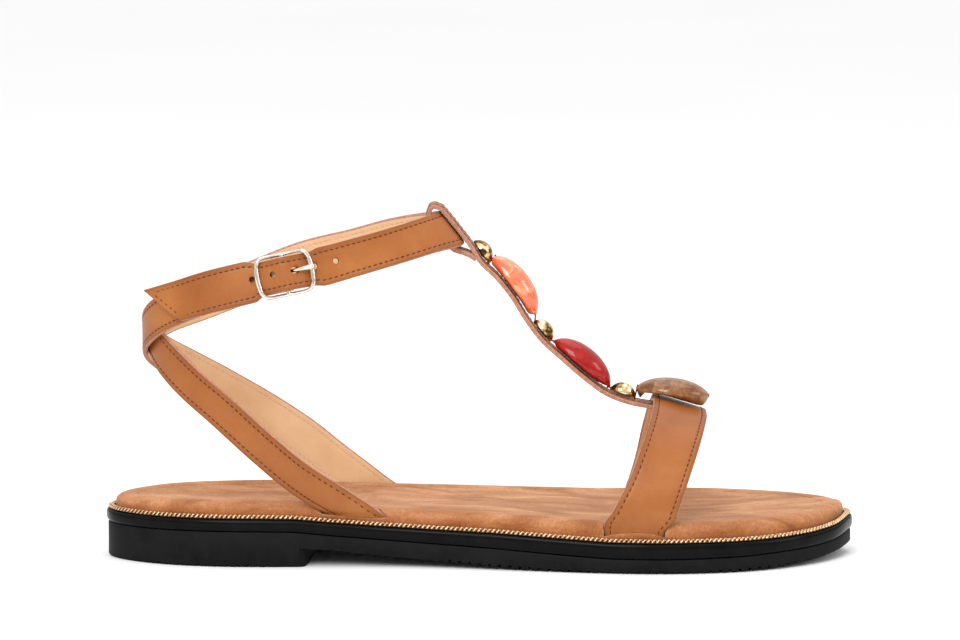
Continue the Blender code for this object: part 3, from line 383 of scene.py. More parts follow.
class Line:
    """A strap's or a bar's path: its middle points, and the directions across it and out of its face."""

    def __init__(self, centres, across, outs, widths, thicks):
        self.centres = np.asarray(centres, float)
        square = np.linalg.norm(np.cross(tangents(self.centres), across), axis=1, keepdims=True)
        self.across = across / square
        self.outs = unit(outs)
        self.widths = np.broadcast_to(widths, len(self.centres)).astype(float)
        self.thicks = np.broadcast_to(thicks, len(self.centres)).astype(float)
        self.walked = line_lengths(self.centres)
        self.length = self.walked[-1]

    def at(self, distance):
        """Middle, ahead, across, out, width and thickness at a distance along the line."""
        middle = point_at(self.centres, self.walked, distance)
        ahead = unit(point_at(tangents(self.centres), self.walked, distance))
        across = point_at(self.across, self.walked, distance)
        out = unit(point_at(self.outs, self.walked, distance))
        return (middle, ahead, across, out, np.interp(distance, self.walked, self.widths),
                np.interp(distance, self.walked, self.thicks))

    def resampled(self, stations):
        columns = np.hstack((self.centres, self.across, self.outs, self.widths[:, None],
                             self.thicks[:, None]))
        read = np.stack([np.interp(stations, self.walked, column) for column in columns.T], axis=1)
        line = Line(read[:, :3], read[:, 3:6], read[:, 6:9], read[:, 9], read[:, 10])
        line.across = read[:, 3:6]
        return line

    def with_close_ends(self, reach):
        """Extra stations near both ends, where the cut edges are rounded."""
        close = np.array((0.0, 0.12, 0.3, 0.6, 1.0)) * reach
        inner = self.walked[(self.walked > reach * 1.5) & (self.walked < self.length - reach * 1.5)]
        return self.resampled(np.concatenate((close, inner, self.length - close[::-1])))


def root_line(x, side, drift=0.0):
    """A strap's end: down beside the footbed's wall, then tucked in under it."""
    level = float(top_height(x)) + 1.6 * GAP + STRAP_THICK / 2
    reach = ANKLE_WIDTH / 2
    slope = float(top_height(x + reach) - top_height(x - reach)) / (2 * reach)
    splay = side * float(half_width(x + reach, side) - half_width(x - reach, side)) / (2 * reach)
    edge = side * (float(half_width(x, side)) - TRIM_INSET - TRIM_WIDTH - 1.6 * GAP - STRAP_THICK / 2)
    points = []
    for angle in (0, 30, 60, 90):
        turn = math.radians(angle)
        points.append((x + drift * ROOT_BEND * turn, edge - side * ROOT_BEND * (1 - math.cos(turn)),
                       level + ROOT_BEND * (1 - math.sin(turn))))
    under = ROOT_BEND * math.pi / 2 + LASTING
    points.append((x + drift * under, edge - side * (ROOT_BEND + LASTING), level))
    return points, slope, splay


def vamp_line():
    outer, outer_slope, outer_splay = root_line((VAMP_ROOT_OUTER - 0.5) * SOLE_LENGTH, -1)
    inner, inner_slope, inner_splay = root_line((VAMP_ROOT_INNER - 0.5) * SOLE_LENGTH, 1)
    outer_width = VAMP_ROWS[0][3] * VAMP_WIDTH
    inner_width = VAMP_ROWS[-1][3] * VAMP_WIDTH
    rows = [(*point, outer_width, -outer_slope, outer_splay) for point in outer[::-1]]
    for along, across, up, width, fall in VAMP_ROWS:
        rows.append(((along - 0.5) * SOLE_LENGTH, across * BALL_WIDTH / 2, up * VAMP_HEIGHT,
                     width * VAMP_WIDTH, fall, 0.0))
    rows += [(*point, inner_width, -inner_slope, inner_splay) for point in inner]
    line = smooth_line(rows, STRAP_STEP, STRAP_TURN)
    sides = np.stack([np.ones(len(line)), line[:, 5], -line[:, 4]], axis=1)
    centres = line[:, :3]
    return Line(centres, sides, np.cross(sides, tangents(centres)), line[:, 3], STRAP_THICK)


def collar_front():
    rows = np.array(LONG_ROWS)
    front = rows[np.argmax(rows[:, 0])]
    x = COLLAR_BACK - SOLE_LENGTH / 2 + front[0] * COLLAR_LENGTH
    lean = math.radians(front[3])
    out = np.array((math.cos(lean), 0.0, math.sin(lean)))
    down = np.array((math.sin(lean), 0.0, -math.cos(lean)))
    return np.array((x, 0.0, front[2] * COLLAR_HEIGHT)), down, out


def instep_place(forward):
    """How far forward a place on the T-bar lies. The bar reaches from the ankle strap to the vamp strap."""
    crest = max(VAMP_ROWS, key=lambda row: row[2])
    front = collar_front()[0][0]
    reach = (crest[0] - 0.5) * SOLE_LENGTH - front
    return front + (forward - T_FRONT) / (crest[0] - 0.5 - T_FRONT) * reach


def t_centres(spacing, turn):
    middle, down, out = collar_front()
    base = VAMP_HEIGHT - (STRAP_THICK + T_THICK) / 2 + T_SINK
    rows = [(instep_place(forward), 0.0, base + up * (middle[2] - base)) for forward, up in T_ROWS]
    for low, far in LOOP_ROWS:
        rows.append(tuple(middle + down * low * ANKLE_WIDTH + out * far * STRAP_THICK))
    return smooth_line(rows, spacing, turn)


def t_line():
    centres = t_centres(STRAP_STEP, STRAP_TURN)
    across = np.tile((0.0, -1.0, 0.0), (len(centres), 1))
    return Line(centres, across, np.cross(tangents(centres), across), T_WIDTH, T_THICK)


def ankle_line(rows, side, spacing, turn=24):
    back = COLLAR_BACK - SOLE_LENGTH / 2
    fall = (rows[1][2] - rows[0][2]) * COLLAR_HEIGHT
    drift = (rows[0][0] - rows[1][0]) * COLLAR_LENGTH / fall
    height = rows[0][2] * COLLAR_HEIGHT - float(top_height(back + rows[0][0] * COLLAR_LENGTH))
    root = back + rows[0][0] * COLLAR_LENGTH + drift * (height - GAP - ROOT_BEND - STRAP_THICK / 2)
    tuck, slope, splay = root_line(root, side, drift)
    places = [(*point, rows[0][3], rows[0][4] * ANKLE_WIDTH, 0.0) for point in tuck[::-1]]
    for along, across, up, lean, width, layer in rows:
        places.append((back + along * COLLAR_LENGTH, across * COLLAR_WIDTH / 2, up * COLLAR_HEIGHT,
                       lean, width * ANKLE_WIDTH, layer * STRAP_THICK))
    line = smooth_line(places, spacing, turn)
    centres = line[:, :3]
    middle = back + COLLAR_LENGTH / 2
    flat = np.stack([(centres[:, 0] - middle) / COLLAR_LENGTH**2, centres[:, 1] / COLLAR_WIDTH**2,
                     np.zeros(len(line))], axis=1)
    lean = np.radians(line[:, 3])[:, None]
    faces = unit(unit(flat) * np.cos(lean) + np.array((0.0, 0.0, 1.0)) * np.sin(lean))
    sides = unit(np.cross(faces, tangents(centres)))
    floor_side = np.array((1.0, splay, slope)) * side
    rise = np.clip((centres[:, 2] - tuck[0][2]) / ANKLE_WIDTH, 0.0, 1.0)[:, None]
    sides = unit(sides * rise + unit(floor_side) * (1 - rise))
    faces = unit(np.cross(tangents(centres), sides))
    return centres + faces * line[:, 5:6], faces, sides, line[:, 4]


class Buckle:
    """Where the buckle lies on the long strap: its own directions and the levels of its bars."""

    def __init__(self):
        centres, faces, _, _ = ankle_line(LONG_ROWS, -1, SOLID_STEP)
        walked = line_lengths(centres)
        target = COLLAR_BACK - SOLE_LENGTH / 2 + BUCKLE_ALONG * COLLAR_LENGTH
        front = int(np.argmax(centres[:, 0]))
        station = float(np.interp(-target, -centres[front:, 0], walked[front:]))
        ahead = point_at(centres, walked, station - BUCKLE_LENGTH / 2)
        behind = point_at(centres, walked, station + BUCKLE_LENGTH / 2)
        self.middle = point_at(centres, walked, station)
        self.origin = (ahead + behind) / 2
        self.ahead = unit(ahead - behind)
        out = point_at(faces, walked, station)
        self.across = unit(np.cross(out, self.ahead))
        self.out = np.cross(self.ahead, self.across)
        self.bow = float(np.dot(self.middle - self.origin, self.out))
        self.under = self.bow - UNDER_LAYER * STRAP_THICK
        self.centre_bar = self.under + CENTRE_BAR / 2 + GAP + FOLD_THICK / 2
        self.hump = CENTRE_BAR / 2 + GAP + FOLD_THICK + GAP + STRAP_THICK / 2 + self.centre_bar - self.bow
        self.side_bar = STRAP_THICK / 2 + 1.5 * GAP + BUCKLE_BAR / 2

    def place(self, along, across, level):
        return self.origin + self.ahead * along + self.across * across + self.out * level


def long_line(buckle):
    """The long ankle strap, humped over the buckle's centre bar and under its two side bars."""
    centres, faces, sides, widths = ankle_line(LONG_ROWS, -1, STRAP_STEP, STRAP_TURN)
    walked = line_lengths(centres)
    front = int(np.argmax(centres[:, 0]))
    station = walked[front + int(np.argmin(np.linalg.norm(centres[front:] - buckle.middle, axis=1)))]
    reach = BUCKLE_LENGTH / 2 * 0.98
    near = np.linspace(-reach, reach, 37) + station
    away = walked[(walked < near[0] - 0.6 * MM) | (walked > near[-1] + 0.6 * MM)]
    stations = np.sort(np.concatenate((away, near)))
    columns = np.hstack((centres, faces, sides, widths[:, None]))
    line = np.stack([np.interp(stations, walked, column) for column in columns.T], axis=1)
    distance = np.clip(np.abs(stations - station) / reach, 0.0, 1.0)
    rise = buckle.hump * (0.5 + 0.5 * np.cos(math.pi * distance))
    faces = unit(line[:, 3:6])
    far = np.clip((np.abs(stations - station) - reach) / (3 * MM), 0.0, 1.0)
    pinched = BUCKLE_PINCH * ANKLE_WIDTH
    widths = pinched + (line[:, 9] - pinched) * far
    centres = line[:, :3] + faces * rise[:, None]
    strap = Line(centres, unit(line[:, 6:9]), faces, widths, STRAP_THICK)
    top = buckle.middle + buckle.out * buckle.hump
    strap.station = strap.walked[front + int(np.argmin(np.linalg.norm(centres[front:] - top, axis=1)))]
    return strap


def short_line(buckle):
    """The short ankle strap, whose skived end folds round the buckle's centre bar."""
    centres, _, sides, widths = ankle_line(SHORT_ROWS, 1, STRAP_STEP, STRAP_TURN)
    turn = CENTRE_BAR / 2 + GAP + FOLD_THICK / 2
    level = buckle.centre_bar
    rows = [(-BUCKLE_LENGTH * 0.32, buckle.under - 0.02 * STRAP_THICK), (-BUCKLE_LENGTH * 0.15, buckle.under)]
    for angle in range(-90, 106, 8):
        rows.append((turn * math.cos(math.radians(angle)), level + turn * math.sin(math.radians(angle))))
    rows += [(-2.3 * MM, level + turn * 0.62), (-4.3 * MM, level + turn * 0.12)]
    fold = np.array([buckle.place(along, 0.0, height) for along, height in rows])
    start = len(centres)
    centres = np.vstack((centres, fold))
    sides = np.vstack((sides, np.tile(buckle.across, (len(fold), 1))))
    widths = np.concatenate((widths, np.full(len(fold), SHORT_ROWS[-1][4] * ANKLE_WIDTH)))
    skive = np.clip((np.arange(len(centres)) - start + 10) / 10, 0.0, 1.0)
    thick = STRAP_THICK + (FOLD_THICK - STRAP_THICK) * skive
    strap = Line(centres, sides, np.cross(tangents(centres), sides), widths, thick)
    strap.fold = strap.walked[start]
    return strap


def prong_rows(buckle):
    """The prong from its knuckle round the centre bar, up through the strap and onto the front side bar."""
    turn = CENTRE_BAR / 2 + GAP + PRONG_BAR / 2
    level = buckle.centre_bar
    rows = [(turn * math.cos(math.radians(angle)), level + turn * math.sin(math.radians(angle)), 1.0)
            for angle in range(-75, -275, -18)]
    rest = buckle.side_bar + BUCKLE_BAR / 2 + GAP + PRONG_BAR / 2 * PRONG_FLARE
    rise = rest - level - turn
    rows += [(PRONG_HOLE * 0.45, level + turn + rise * 0.16, 1.0),
             (PRONG_HOLE, level + turn + rise * 0.50, 1.05),
             (PRONG_HOLE * 1.6, level + turn + rise * 0.88, 1.15),
             (BUCKLE_LENGTH * 0.42, rest, PRONG_FLARE),
             (BUCKLE_LENGTH / 2 + BUCKLE_BAR * 0.45, rest, PRONG_FLARE * 0.96),
             (BUCKLE_LENGTH / 2 + BUCKLE_BAR * 0.75, rest - 0.1 * MM, PRONG_FLARE * 0.75)]
    return [(*buckle.place(along, HOLE_RAISE, height), share * PRONG_BAR / 2)
            for along, height, share in rows]


# Finishes


class Finish:
    """A finish made of patterns measured in metres on the shoe's own axes."""

    def __init__(self, name, **gloss):
        self.material = bpy.data.materials.new(name)
        self.material.use_nodes = True
        self.tree = self.material.node_tree
        self.shader = self.tree.nodes["Principled BSDF"]
        self.where = self.node("ShaderNodeTexCoord").outputs["Object"]
        self.height = None
        for socket, value in gloss.items():
            self.shader.inputs[socket.replace("_", " ")].default_value = value

    def node(self, kind, **values):
        made = self.tree.nodes.new(kind)
        for key, value in values.items():
            if hasattr(made, key):
                setattr(made, key, value)
            else:
                made.inputs[key.replace("_", " ")].default_value = value
        return made

    def join(self, source, target):
        self.tree.links.new(source, target)
        return self

    def stretched(self, scale):
        mapping = self.node("ShaderNodeMapping")
        mapping.inputs["Scale"].default_value = scale
        self.join(self.where, mapping.inputs["Vector"])
        return mapping.outputs["Vector"]

    def mottle(self, size, detail=3.0, rough=0.5, warp=0.0, where=None):
        """Cloudy variation whose patches are about `size` metres across."""
        made = self.node("ShaderNodeTexNoise", Scale=1.0 / size, Detail=detail, Roughness=rough,
                         Distortion=warp)
        self.join(where or self.where, made.inputs["Vector"])
        return made.outputs["Fac"]

    def warped(self, size):
        """The object's coordinates, pushed about by a cloud, so that veins wander."""
        cloud = self.node("ShaderNodeTexNoise", Scale=0.6 / size, Detail=4.0)
        self.join(self.where, cloud.inputs["Vector"])
        push = self.node("ShaderNodeVectorMath", operation="MULTIPLY_ADD")
        self.join(cloud.outputs["Color"], push.inputs[0])
        push.inputs[1].default_value = (size * 1.4,) * 3
        self.join(self.where, push.inputs[2])
        return push.outputs[0]

    def cells(self, size, feature="F1", where=None):
        made = self.node("ShaderNodeTexVoronoi", feature=feature)
        made.inputs["Scale"].default_value = 1.0 / size
        self.join(where or self.where, made.inputs["Vector"])
        return made.outputs["Distance"]

    def attribute(self, name):
        made = self.node("ShaderNodeAttribute", attribute_name=name)
        return made.outputs["Fac"]

    def ramp(self, value, *stops):
        made = self.node("ShaderNodeValToRGB")
        band = made.color_ramp
        while len(band.elements) < len(stops):
            band.elements.new(0.5)
        for element, (place, colour) in zip(band.elements, stops):
            element.position = place
            element.color = (*colour, 1.0) if hasattr(colour, "__len__") else (colour, colour, colour, 1.0)
        self.join(value, made.inputs["Fac"])
        return made.outputs["Color"]

    def mixed(self, share, first, second, blend="MIX"):
        made = self.node("ShaderNodeMix", data_type="RGBA", blend_type=blend)
        for value, socket in ((share, made.inputs[0]), (first, made.inputs[6]), (second, made.inputs[7])):
            if isinstance(value, bpy.types.NodeSocket):
                self.join(value, socket)
            elif hasattr(value, "__len__"):
                socket.default_value = (*value, 1.0)
            else:
                socket.default_value = value
        return made.outputs[2]

    def sum(self, first, second, share=1.0):
        """first plus a share of second, as plain numbers."""
        made = self.node("ShaderNodeMath", operation="MULTIPLY_ADD")
        self.join(second, made.inputs[0])
        made.inputs[1].default_value = share
        self.join(first, made.inputs[2])
        return made.outputs[0]

    def colour(self, socket):
        return self.join(socket, self.shader.inputs["Base Color"])

    def roughness(self, socket, low, high):
        made = self.node("ShaderNodeMapRange")
        made.inputs["To Min"].default_value = low
        made.inputs["To Max"].default_value = high
        self.join(socket, made.inputs["Value"])
        return self.join(made.outputs["Result"], self.shader.inputs["Roughness"])

    def bump(self, socket, depth, strength=1.0):
        made = self.node("ShaderNodeBump", Strength=strength, Distance=depth)
        self.join(socket, made.inputs["Height"])
        if self.height:
            self.join(self.height, made.inputs["Normal"])
        self.height = made.outputs["Normal"]
        return self.join(self.height, self.shader.inputs["Normal"])


def tan_leather():
    finish = Finish("leather_tan", Coat_Weight=0.16, Coat_Roughness=0.24, Specular_IOR_Level=0.22)
    clouds = finish.mottle(26 * MM, 3, 0.5, 0.4)
    body = finish.ramp(clouds, (0.28, (0.265, 0.075, 0.014)), (0.52, (0.330, 0.104, 0.022)),
                       (0.76, (0.41, 0.146, 0.036)))
    grain = finish.mottle(0.5 * MM, 3, 0.6)
    body = finish.mixed(0.16, body, finish.ramp(grain, (0.30, 0.30), (0.70, 0.72)), "OVERLAY")
    burnish = finish.ramp(finish.attribute("rim"), (0.0, 0.0), (1.0, 0.60))
    body = finish.mixed(burnish, body, (0.13, 0.032, 0.007))
    finish.colour(body).roughness(finish.sum(grain, clouds, 0.6), 0.28, 0.50)
    finish.bump(finish.cells(0.42 * MM), 0.025 * MM, 0.45)
    finish.bump(finish.mottle(3.2 * MM, 3, 0.5), 0.06 * MM, 0.4)
    return finish.material


def raw_edge():
    finish = Finish("leather_raw_edge", Roughness=0.82)
    fibre = finish.mottle(0.35 * MM, 4, 0.7)
    layers = finish.mottle(1.3 * MM, 3, 0.6, 0.5)
    body = finish.ramp(finish.sum(fibre, layers, 0.5), (0.55, (0.25, 0.095, 0.058)),
                       (0.95, (0.56, 0.29, 0.20)))
    finish.colour(body).bump(fibre, 0.05 * MM, 0.7)
    return finish.material


def beige_lining():
    finish = Finish("lining_beige", Roughness=0.6, Sheen_Weight=0.15, Sheen_Roughness=0.5)
    clouds = finish.mottle(18 * MM, 4, 0.6, 0.4)
    body = finish.ramp(clouds, (0.32, (0.58, 0.335, 0.170)), (0.70, (0.70, 0.43, 0.240)))
    pores = finish.cells(0.7 * MM)
    body = finish.mixed(0.16, body, finish.ramp(pores, (0.0, 0.2), (0.25, 0.75)), "OVERLAY")
    finish.colour(body).bump(pores, 0.03 * MM, 0.4).bump(finish.mottle(3 * MM, 3), 0.08 * MM, 0.4)
    return finish.material


def tan_suede():
    finish = Finish("suede_tan", Sheen_Weight=0.22, Sheen_Roughness=0.45, Specular_IOR_Level=0.2)
    finish.shader.inputs["Sheen Tint"].default_value = (1.0, 0.80, 0.62, 1.0)
    brushed = finish.mottle(1.0, 4, 0.6, 0.8, finish.stretched((38.0, 95.0, 95.0)))
    nap = finish.mottle(0.9 * MM, 4, 0.75)
    top = finish.ramp(brushed, (0.34, (0.30, 0.118, 0.045)), (0.50, (0.41, 0.182, 0.080)),
                      (0.68, (0.56, 0.285, 0.145)))
    wall = finish.ramp(brushed, (0.34, (0.27, 0.080, 0.022)), (0.68, (0.46, 0.180, 0.068)))
    body = finish.mixed(finish.attribute("wall"), top, wall)
    body = finish.mixed(0.45, body, finish.ramp(nap, (0.32, 0.25), (0.68, 0.75)), "OVERLAY")
    # painted shade: the suede is darkened towards (0.33, 0.12, 0.045) in the patch beside the inner strap's
    # root
    root_shade_share = finish.ramp(finish.attribute("root_shade"), (0.0, 0.0), (1.0, 0.6))
    body = finish.mixed(root_shade_share, body, (0.33, 0.12, 0.045))
    finish.colour(body).roughness(nap, 0.82, 1.0)
    finish.bump(nap, 0.12 * MM, 0.75).bump(finish.mottle(6 * MM, 3), 0.25 * MM, 0.4)
    return finish.material


def black_rubber():
    finish = Finish("rubber_black", Specular_IOR_Level=0.09)
    dust = finish.mottle(9 * MM, 5, 0.65, 0.3)
    speck = finish.mottle(0.5 * MM, 3, 0.7)
    finish.colour(finish.ramp(finish.sum(dust, speck, 0.3), (0.45, (0.003, 0.003, 0.0035)),
                              (0.95, (0.010, 0.010, 0.011))))
    finish.roughness(dust, 0.46, 0.66).bump(speck, 0.03 * MM, 0.6)
    return finish.material


def black_welt():
    finish = Finish("welt_black", Specular_IOR_Level=0.07)
    haze = finish.mottle(11 * MM, 5, 0.6, 0.4)
    finish.colour(finish.ramp(haze, (0.35, (0.0025, 0.0025, 0.0025)), (0.75, (0.006, 0.006, 0.006))))
    finish.roughness(haze, 0.12, 0.30).bump(finish.mottle(1.2 * MM, 3), 0.04 * MM, 0.4)
    return finish.material


def gold_finish(name, size, dent, *tones):
    finish = Finish(name, Metallic=1.0)
    tone = finish.mottle(size, 3, 0.5, 0.6)
    finish.colour(finish.ramp(tone, *tones))
    finish.roughness(finish.mottle(size * 0.5, 4, 0.6), 0.05, 0.22).bump(tone, dent, 0.6)
    return finish.material


def silver_finish():
    finish = Finish("buckle_silver", Metallic=1.0)
    tone = finish.mottle(4 * MM, 4, 0.6)
    finish.colour(finish.ramp(tone, (0.3, (0.66, 0.60, 0.52)), (0.75, (0.84, 0.79, 0.72))))
    finish.roughness(finish.mottle(0.8 * MM, 4, 0.7), 0.12, 0.24)
    finish.bump(finish.mottle(2.4 * MM, 3), 0.012 * MM, 0.5)
    return finish.material


def stone_finish(name, size, clouds, vein, vein_colour, **gloss):
    """Polished stone: warped clouds of colour, crossed by thin veins."""
    finish = Finish(name, Coat_Roughness=0.04, Roughness=0.22, **gloss)
    drift = finish.mottle(size, 7, 0.62, 1.6)
    body = finish.ramp(drift, *clouds)
    cracks = finish.cells(size * 0.85, "DISTANCE_TO_EDGE", finish.warped(size))
    lines = finish.ramp(cracks, (0.0, 1.0), (vein, 0.0))
    patches = finish.ramp(finish.mottle(size * 1.7, 3), (0.45, 0.0), (0.62, 0.8))
    body = finish.mixed(finish.mixed(1.0, lines, patches, "MULTIPLY"), body, vein_colour)
    finish.colour(body).bump(finish.mottle(size * 0.4, 3), 0.03 * MM, 0.3)
    return finish.material


def thread_finish(name, dark, light):
    finish = Finish(name, Roughness=0.7, Specular_IOR_Level=0.08)
    strand = finish.mottle(0.35 * MM, 3, 0.6)
    finish.colour(finish.ramp(strand, (0.3, dark), (0.7, light))).bump(strand, 0.03 * MM, 0.8)
    return finish.material


FINISHES = {
    "leather": tan_leather(),
    "edge": raw_edge(),
    "lining": beige_lining(),
    "suede": tan_suede(),
    "rubber": black_rubber(),
    "welt": black_welt(),
    "gold": gold_finish("gold", 3.6 * MM, 0.10 * MM, (0.40, (0.10, 0.060, 0.022)),
                        (0.47, (0.55, 0.37, 0.15)), (0.60, (0.93, 0.79, 0.50))),
    "trim_gold": gold_finish("trim_gold", 1.1 * MM, 0.05 * MM, (0.32, (0.42, 0.24, 0.11)),
                             (0.70, (0.86, 0.64, 0.42))),
    "silver": silver_finish(),
    "coral": stone_finish("coral", 6 * MM, ((0.32, (0.74, 0.090, 0.025)), (0.50, (0.80, 0.165, 0.062)),
                                            (0.66, (0.86, 0.33, 0.17))), 0.05, (0.55, 0.035, 0.012),
                          Coat_Weight=0.8, Subsurface_Weight=0.12, Subsurface_Scale=0.0015),
    "carnelian": stone_finish("carnelian", 9 * MM, ((0.30, (0.21, 0.003, 0.002)),
                                                    (0.55, (0.34, 0.007, 0.005)),
                                                    (0.80, (0.46, 0.020, 0.014))), 0.02, (0.14, 0.003, 0.003),
                              Coat_Weight=0.45, Specular_IOR_Level=0.12),
    "jasper": stone_finish("jasper", 7 * MM, ((0.30, (0.08, 0.026, 0.008)), (0.44, (0.21, 0.075, 0.020)),
                                              (0.56, (0.27, 0.125, 0.045)), (0.72, (0.36, 0.22, 0.10))), 0.07,
                           (0.11, 0.035, 0.010), Coat_Weight=0.55, Specular_IOR_Level=0.15),
    "thread": thread_finish("thread_brown", (0.075, 0.014, 0.003), (0.19, 0.042, 0.010)),
    "pale_thread": thread_finish("thread_beige", (0.42, 0.20, 0.13), (0.78, 0.52, 0.40)),
    # painted shade: a near-black finish for the walls of the punched holes, the prong's passage and the band
    # under the trim beads, standing in for the shade in these recesses
    "hole": thread_finish("recess_shade_dark", (0.03, 0.012, 0.007), (0.09, 0.035, 0.018)),
}


# Making


def mesh_of(name, source):
    mesh = bpy.data.meshes.new(name)
    source.to_mesh(mesh)
    source.free()
    return mesh


def laid_out(first, second, third, place):
    """The matrix that stretches a unit ball along three vectors and sets it down at a place."""
    matrix = Matrix(np.stack((first, second, third), axis=1).tolist()).to_4x4()
    matrix.translation = Vector(place)
    return matrix


def new_piece(name, source, finishes, replaced=(), sharp=None):
    """An object from a finished bmesh, riding on the shoe and standing for its CAD nodes."""
    bmesh.ops.translate(source, verts=source.verts, vec=(0.0, MIDDLE_SHIFT, 0.0))
    mesh = mesh_of(name, source)
    for finish in finishes:
        mesh.materials.append(FINISHES[finish])
    mesh.shade_smooth()
    if sharp:
        mesh.set_sharp_from_angle(angle=math.radians(sharp))
    piece = bpy.data.objects.new(name, mesh)
    bpy.context.scene.collection.objects.link(piece)
    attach(piece, "root")
    if replaced:
        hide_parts(*replaced)
    return piece


def sheet_round(rings, closed=False, bands=None, shade=None, shade_name="rim"):
    """A grid bent round rings of points: one row of the grid for each ring, welded where it meets itself.

    bands gives the finish of each strip between neighbouring points of a ring, shade a number for each point.
    """
    rings = np.asarray(rings, float)
    count, around = rings.shape[:2]
    source = bmesh.new()
    source.loops.layers.uv.new("UVMap")
    tone = source.verts.layers.float.new(shade_name) if shade is not None else None
    across = count if closed else count - 1
    bmesh.ops.create_grid(source, x_segments=across, y_segments=around, size=0.5, calc_uvs=True)
    uv = source.loops.layers.uv.active
    lengths = line_lengths(rings.mean(axis=1))[-1]
    girth = line_lengths(np.vstack((rings[count // 2], rings[count // 2][:1])))[-1]
    for face in source.faces:
        strip = int(sum(loop[uv].uv.y for loop in face.loops) / 4 * around)
        if bands is not None:
            face.material_index = bands[strip % around]
        for loop in face.loops:
            loop[uv].uv = (loop[uv].uv.x * lengths, loop[uv].uv.y * girth)
    for vert in source.verts:
        i = round((vert.co.x + 0.5) * across) % count
        j = round((vert.co.y + 0.5) * around) % around
        vert.co = rings[i, j]
        if tone is not None:
            vert[tone] = shade[i][j]
    bmesh.ops.remove_doubles(source, verts=source.verts, dist=0.000002)
    return source


def close_ends(source, finish=0):
    rims = [edge for edge in source.edges if edge.is_boundary]
    made = bmesh.ops.holes_fill(source, edges=rims, sides=0)
    for face in made["faces"]:
        face.material_index = finish
    bmesh.ops.recalc_face_normals(source, faces=source.faces)
    return source


def cut_out(piece, source, finish):
    """Takes the tool's shape out of a piece; the walls that it leaves have the tool's finish."""
    tool = new_piece(piece.name + "_tool", source, [finish])
    boolean = piece.modifiers.new("cut", "BOOLEAN")
    boolean.operation = "DIFFERENCE"
    boolean.solver = "EXACT"
    boolean.material_mode = "TRANSFER"
    boolean.object = tool
    bpy.context.view_layer.update()
    depsgraph = bpy.context.evaluated_depsgraph_get()
    mesh = bpy.data.meshes.new_from_object(piece.evaluated_get(depsgraph), preserve_all_data_layers=True,
                                           depsgraph=depsgraph)
    piece.modifiers.clear()
    piece.data = mesh
    bpy.data.objects.remove(tool, do_unlink=True)


# Straps

LEATHER, EDGE, LINING = 0, 1, 2
# Half of a strap's section, from the middle of its face round the edge to the middle of its lining.
# in: from the edge in millimetres, or where it is measured as middle, a share of half the width.
# level: share of the thickness.
SECTION = (
    # measured from, in, level, finish of the strip that follows
    ("middle", 1.00, 0.530, LEATHER),
    ("middle", 0.55, 0.525, LEATHER),
    ("edge", 2.75, 0.505, LEATHER),
    ("edge", 2.20, 0.470, LEATHER),
    ("edge", 1.90, 0.420, LEATHER),
    ("edge", 1.60, 0.465, LEATHER),
    ("edge", 1.05, 0.490, LEATHER),
    ("edge", 0.50, 0.455, LEATHER),
    ("edge", 0.18, 0.370, EDGE),
    ("edge", 0.03, 0.220, EDGE),
    ("edge", 0.00, 0.060, EDGE),
    ("edge", 0.14, 0.000, EDGE),
    ("edge", 0.02, -0.060, EDGE),
    ("edge", 0.00, -0.220, EDGE),
    ("edge", 0.12, -0.400, EDGE),
    ("edge", 0.45, -0.480, LINING),
    ("edge", 1.50, -0.500, LINING),
    ("edge", 1.90, -0.455, LINING),
    ("edge", 2.30, -0.500, LINING),
    ("middle", 0.55, -0.500, LINING),
    ("middle", 1.00, -0.500, LINING),
)
RIM_FADE = 1.3 * MM
CUT_ROUND = 0.5 * MM        # length over which a cut end is rounded
CUT_THIN = 0.16


def section_points(width, thick):
    """One section of a strap: points (across, out), going round, and how near the edge each is."""
    half = []
    rims = []
    for kind, value, level, _ in SECTION:
        inward = value * MM if kind == "edge" else value * width / 2
        side = max(0.0, width / 2 - inward)
        half.append((side, level * thick))
        rims.append(math.exp(-inward / RIM_FADE))
    mirrored = [(-side, level) for side, level in half[-2:0:-1]]
    return np.array(half + mirrored), np.array(rims + rims[-2:0:-1])


SECTION_BANDS = [row[3] for row in SECTION[:-1]] + [row[3] for row in SECTION[-2::-1]]


def strap_rings(line, slant=0.0, waver=0.12 * MM, seed=0.0):
    """Rings of a strap's sections; its cut ends are rounded and it wavers as hand-cut leather does."""
    rings = []
    rims = []
    ahead = tangents(line.centres)
    for k, middle in enumerate(line.centres):
        to_end = min(line.walked[k], line.length - line.walked[k])
        shrink = 1 - CUT_THIN * max(0.0, 1 - to_end / CUT_ROUND)**2
        points, rim = section_points(line.widths[k], line.thicks[k])
        ease = np.clip((line.walked[k] - line.length) / (3 * abs(slant) + MM) + 1.0, 0.0, 1.0)
        sway = noise.noise((line.walked[k] * 55, seed, 0.3)) * waver
        puff = noise.noise((line.walked[k] * 70, seed, 4.1)) * waver * 0.5
        across, out = points[:, :1], points[:, 1:]
        drawn = ahead[k] * ease * slant * across / line.widths[k]
        rings.append(middle + line.across[k] * (across + sway * np.sign(across)) + drawn
                     + line.outs[k] * (out * shrink + puff * (np.abs(out) > 0.2 * MM)))
        rims.append(rim)
    return rings, rims


def make_strap(name, line, replaced, slant=0.0, seed=0.0):
    line = line.with_close_ends(CUT_ROUND)
    rings, rims = strap_rings(line, slant, seed=seed)
    source = close_ends(sheet_round(rings, bands=SECTION_BANDS, shade=rims), EDGE)
    return new_piece(name, source, ["leather", "edge", "lining"], replaced, sharp=50)


class Repeated:
    """One small shape, set down many times in one mesh."""

    def __init__(self, around, along):
        self.made = bmesh.new()
        source = bmesh.new()
        bmesh.ops.create_uvsphere(source, u_segments=around, v_segments=along, radius=1.0)
        self.shape = mesh_of("repeated", source)

    def put(self, matrix):
        one = self.shape.copy()
        one.transform(matrix, shape_keys=False)
        self.made.from_mesh(one)
        bpy.data.meshes.remove(one)

    def finished(self):
        bpy.data.meshes.remove(self.shape)
        bmesh.ops.recalc_face_normals(self.made, faces=self.made.faces)
        return self.made


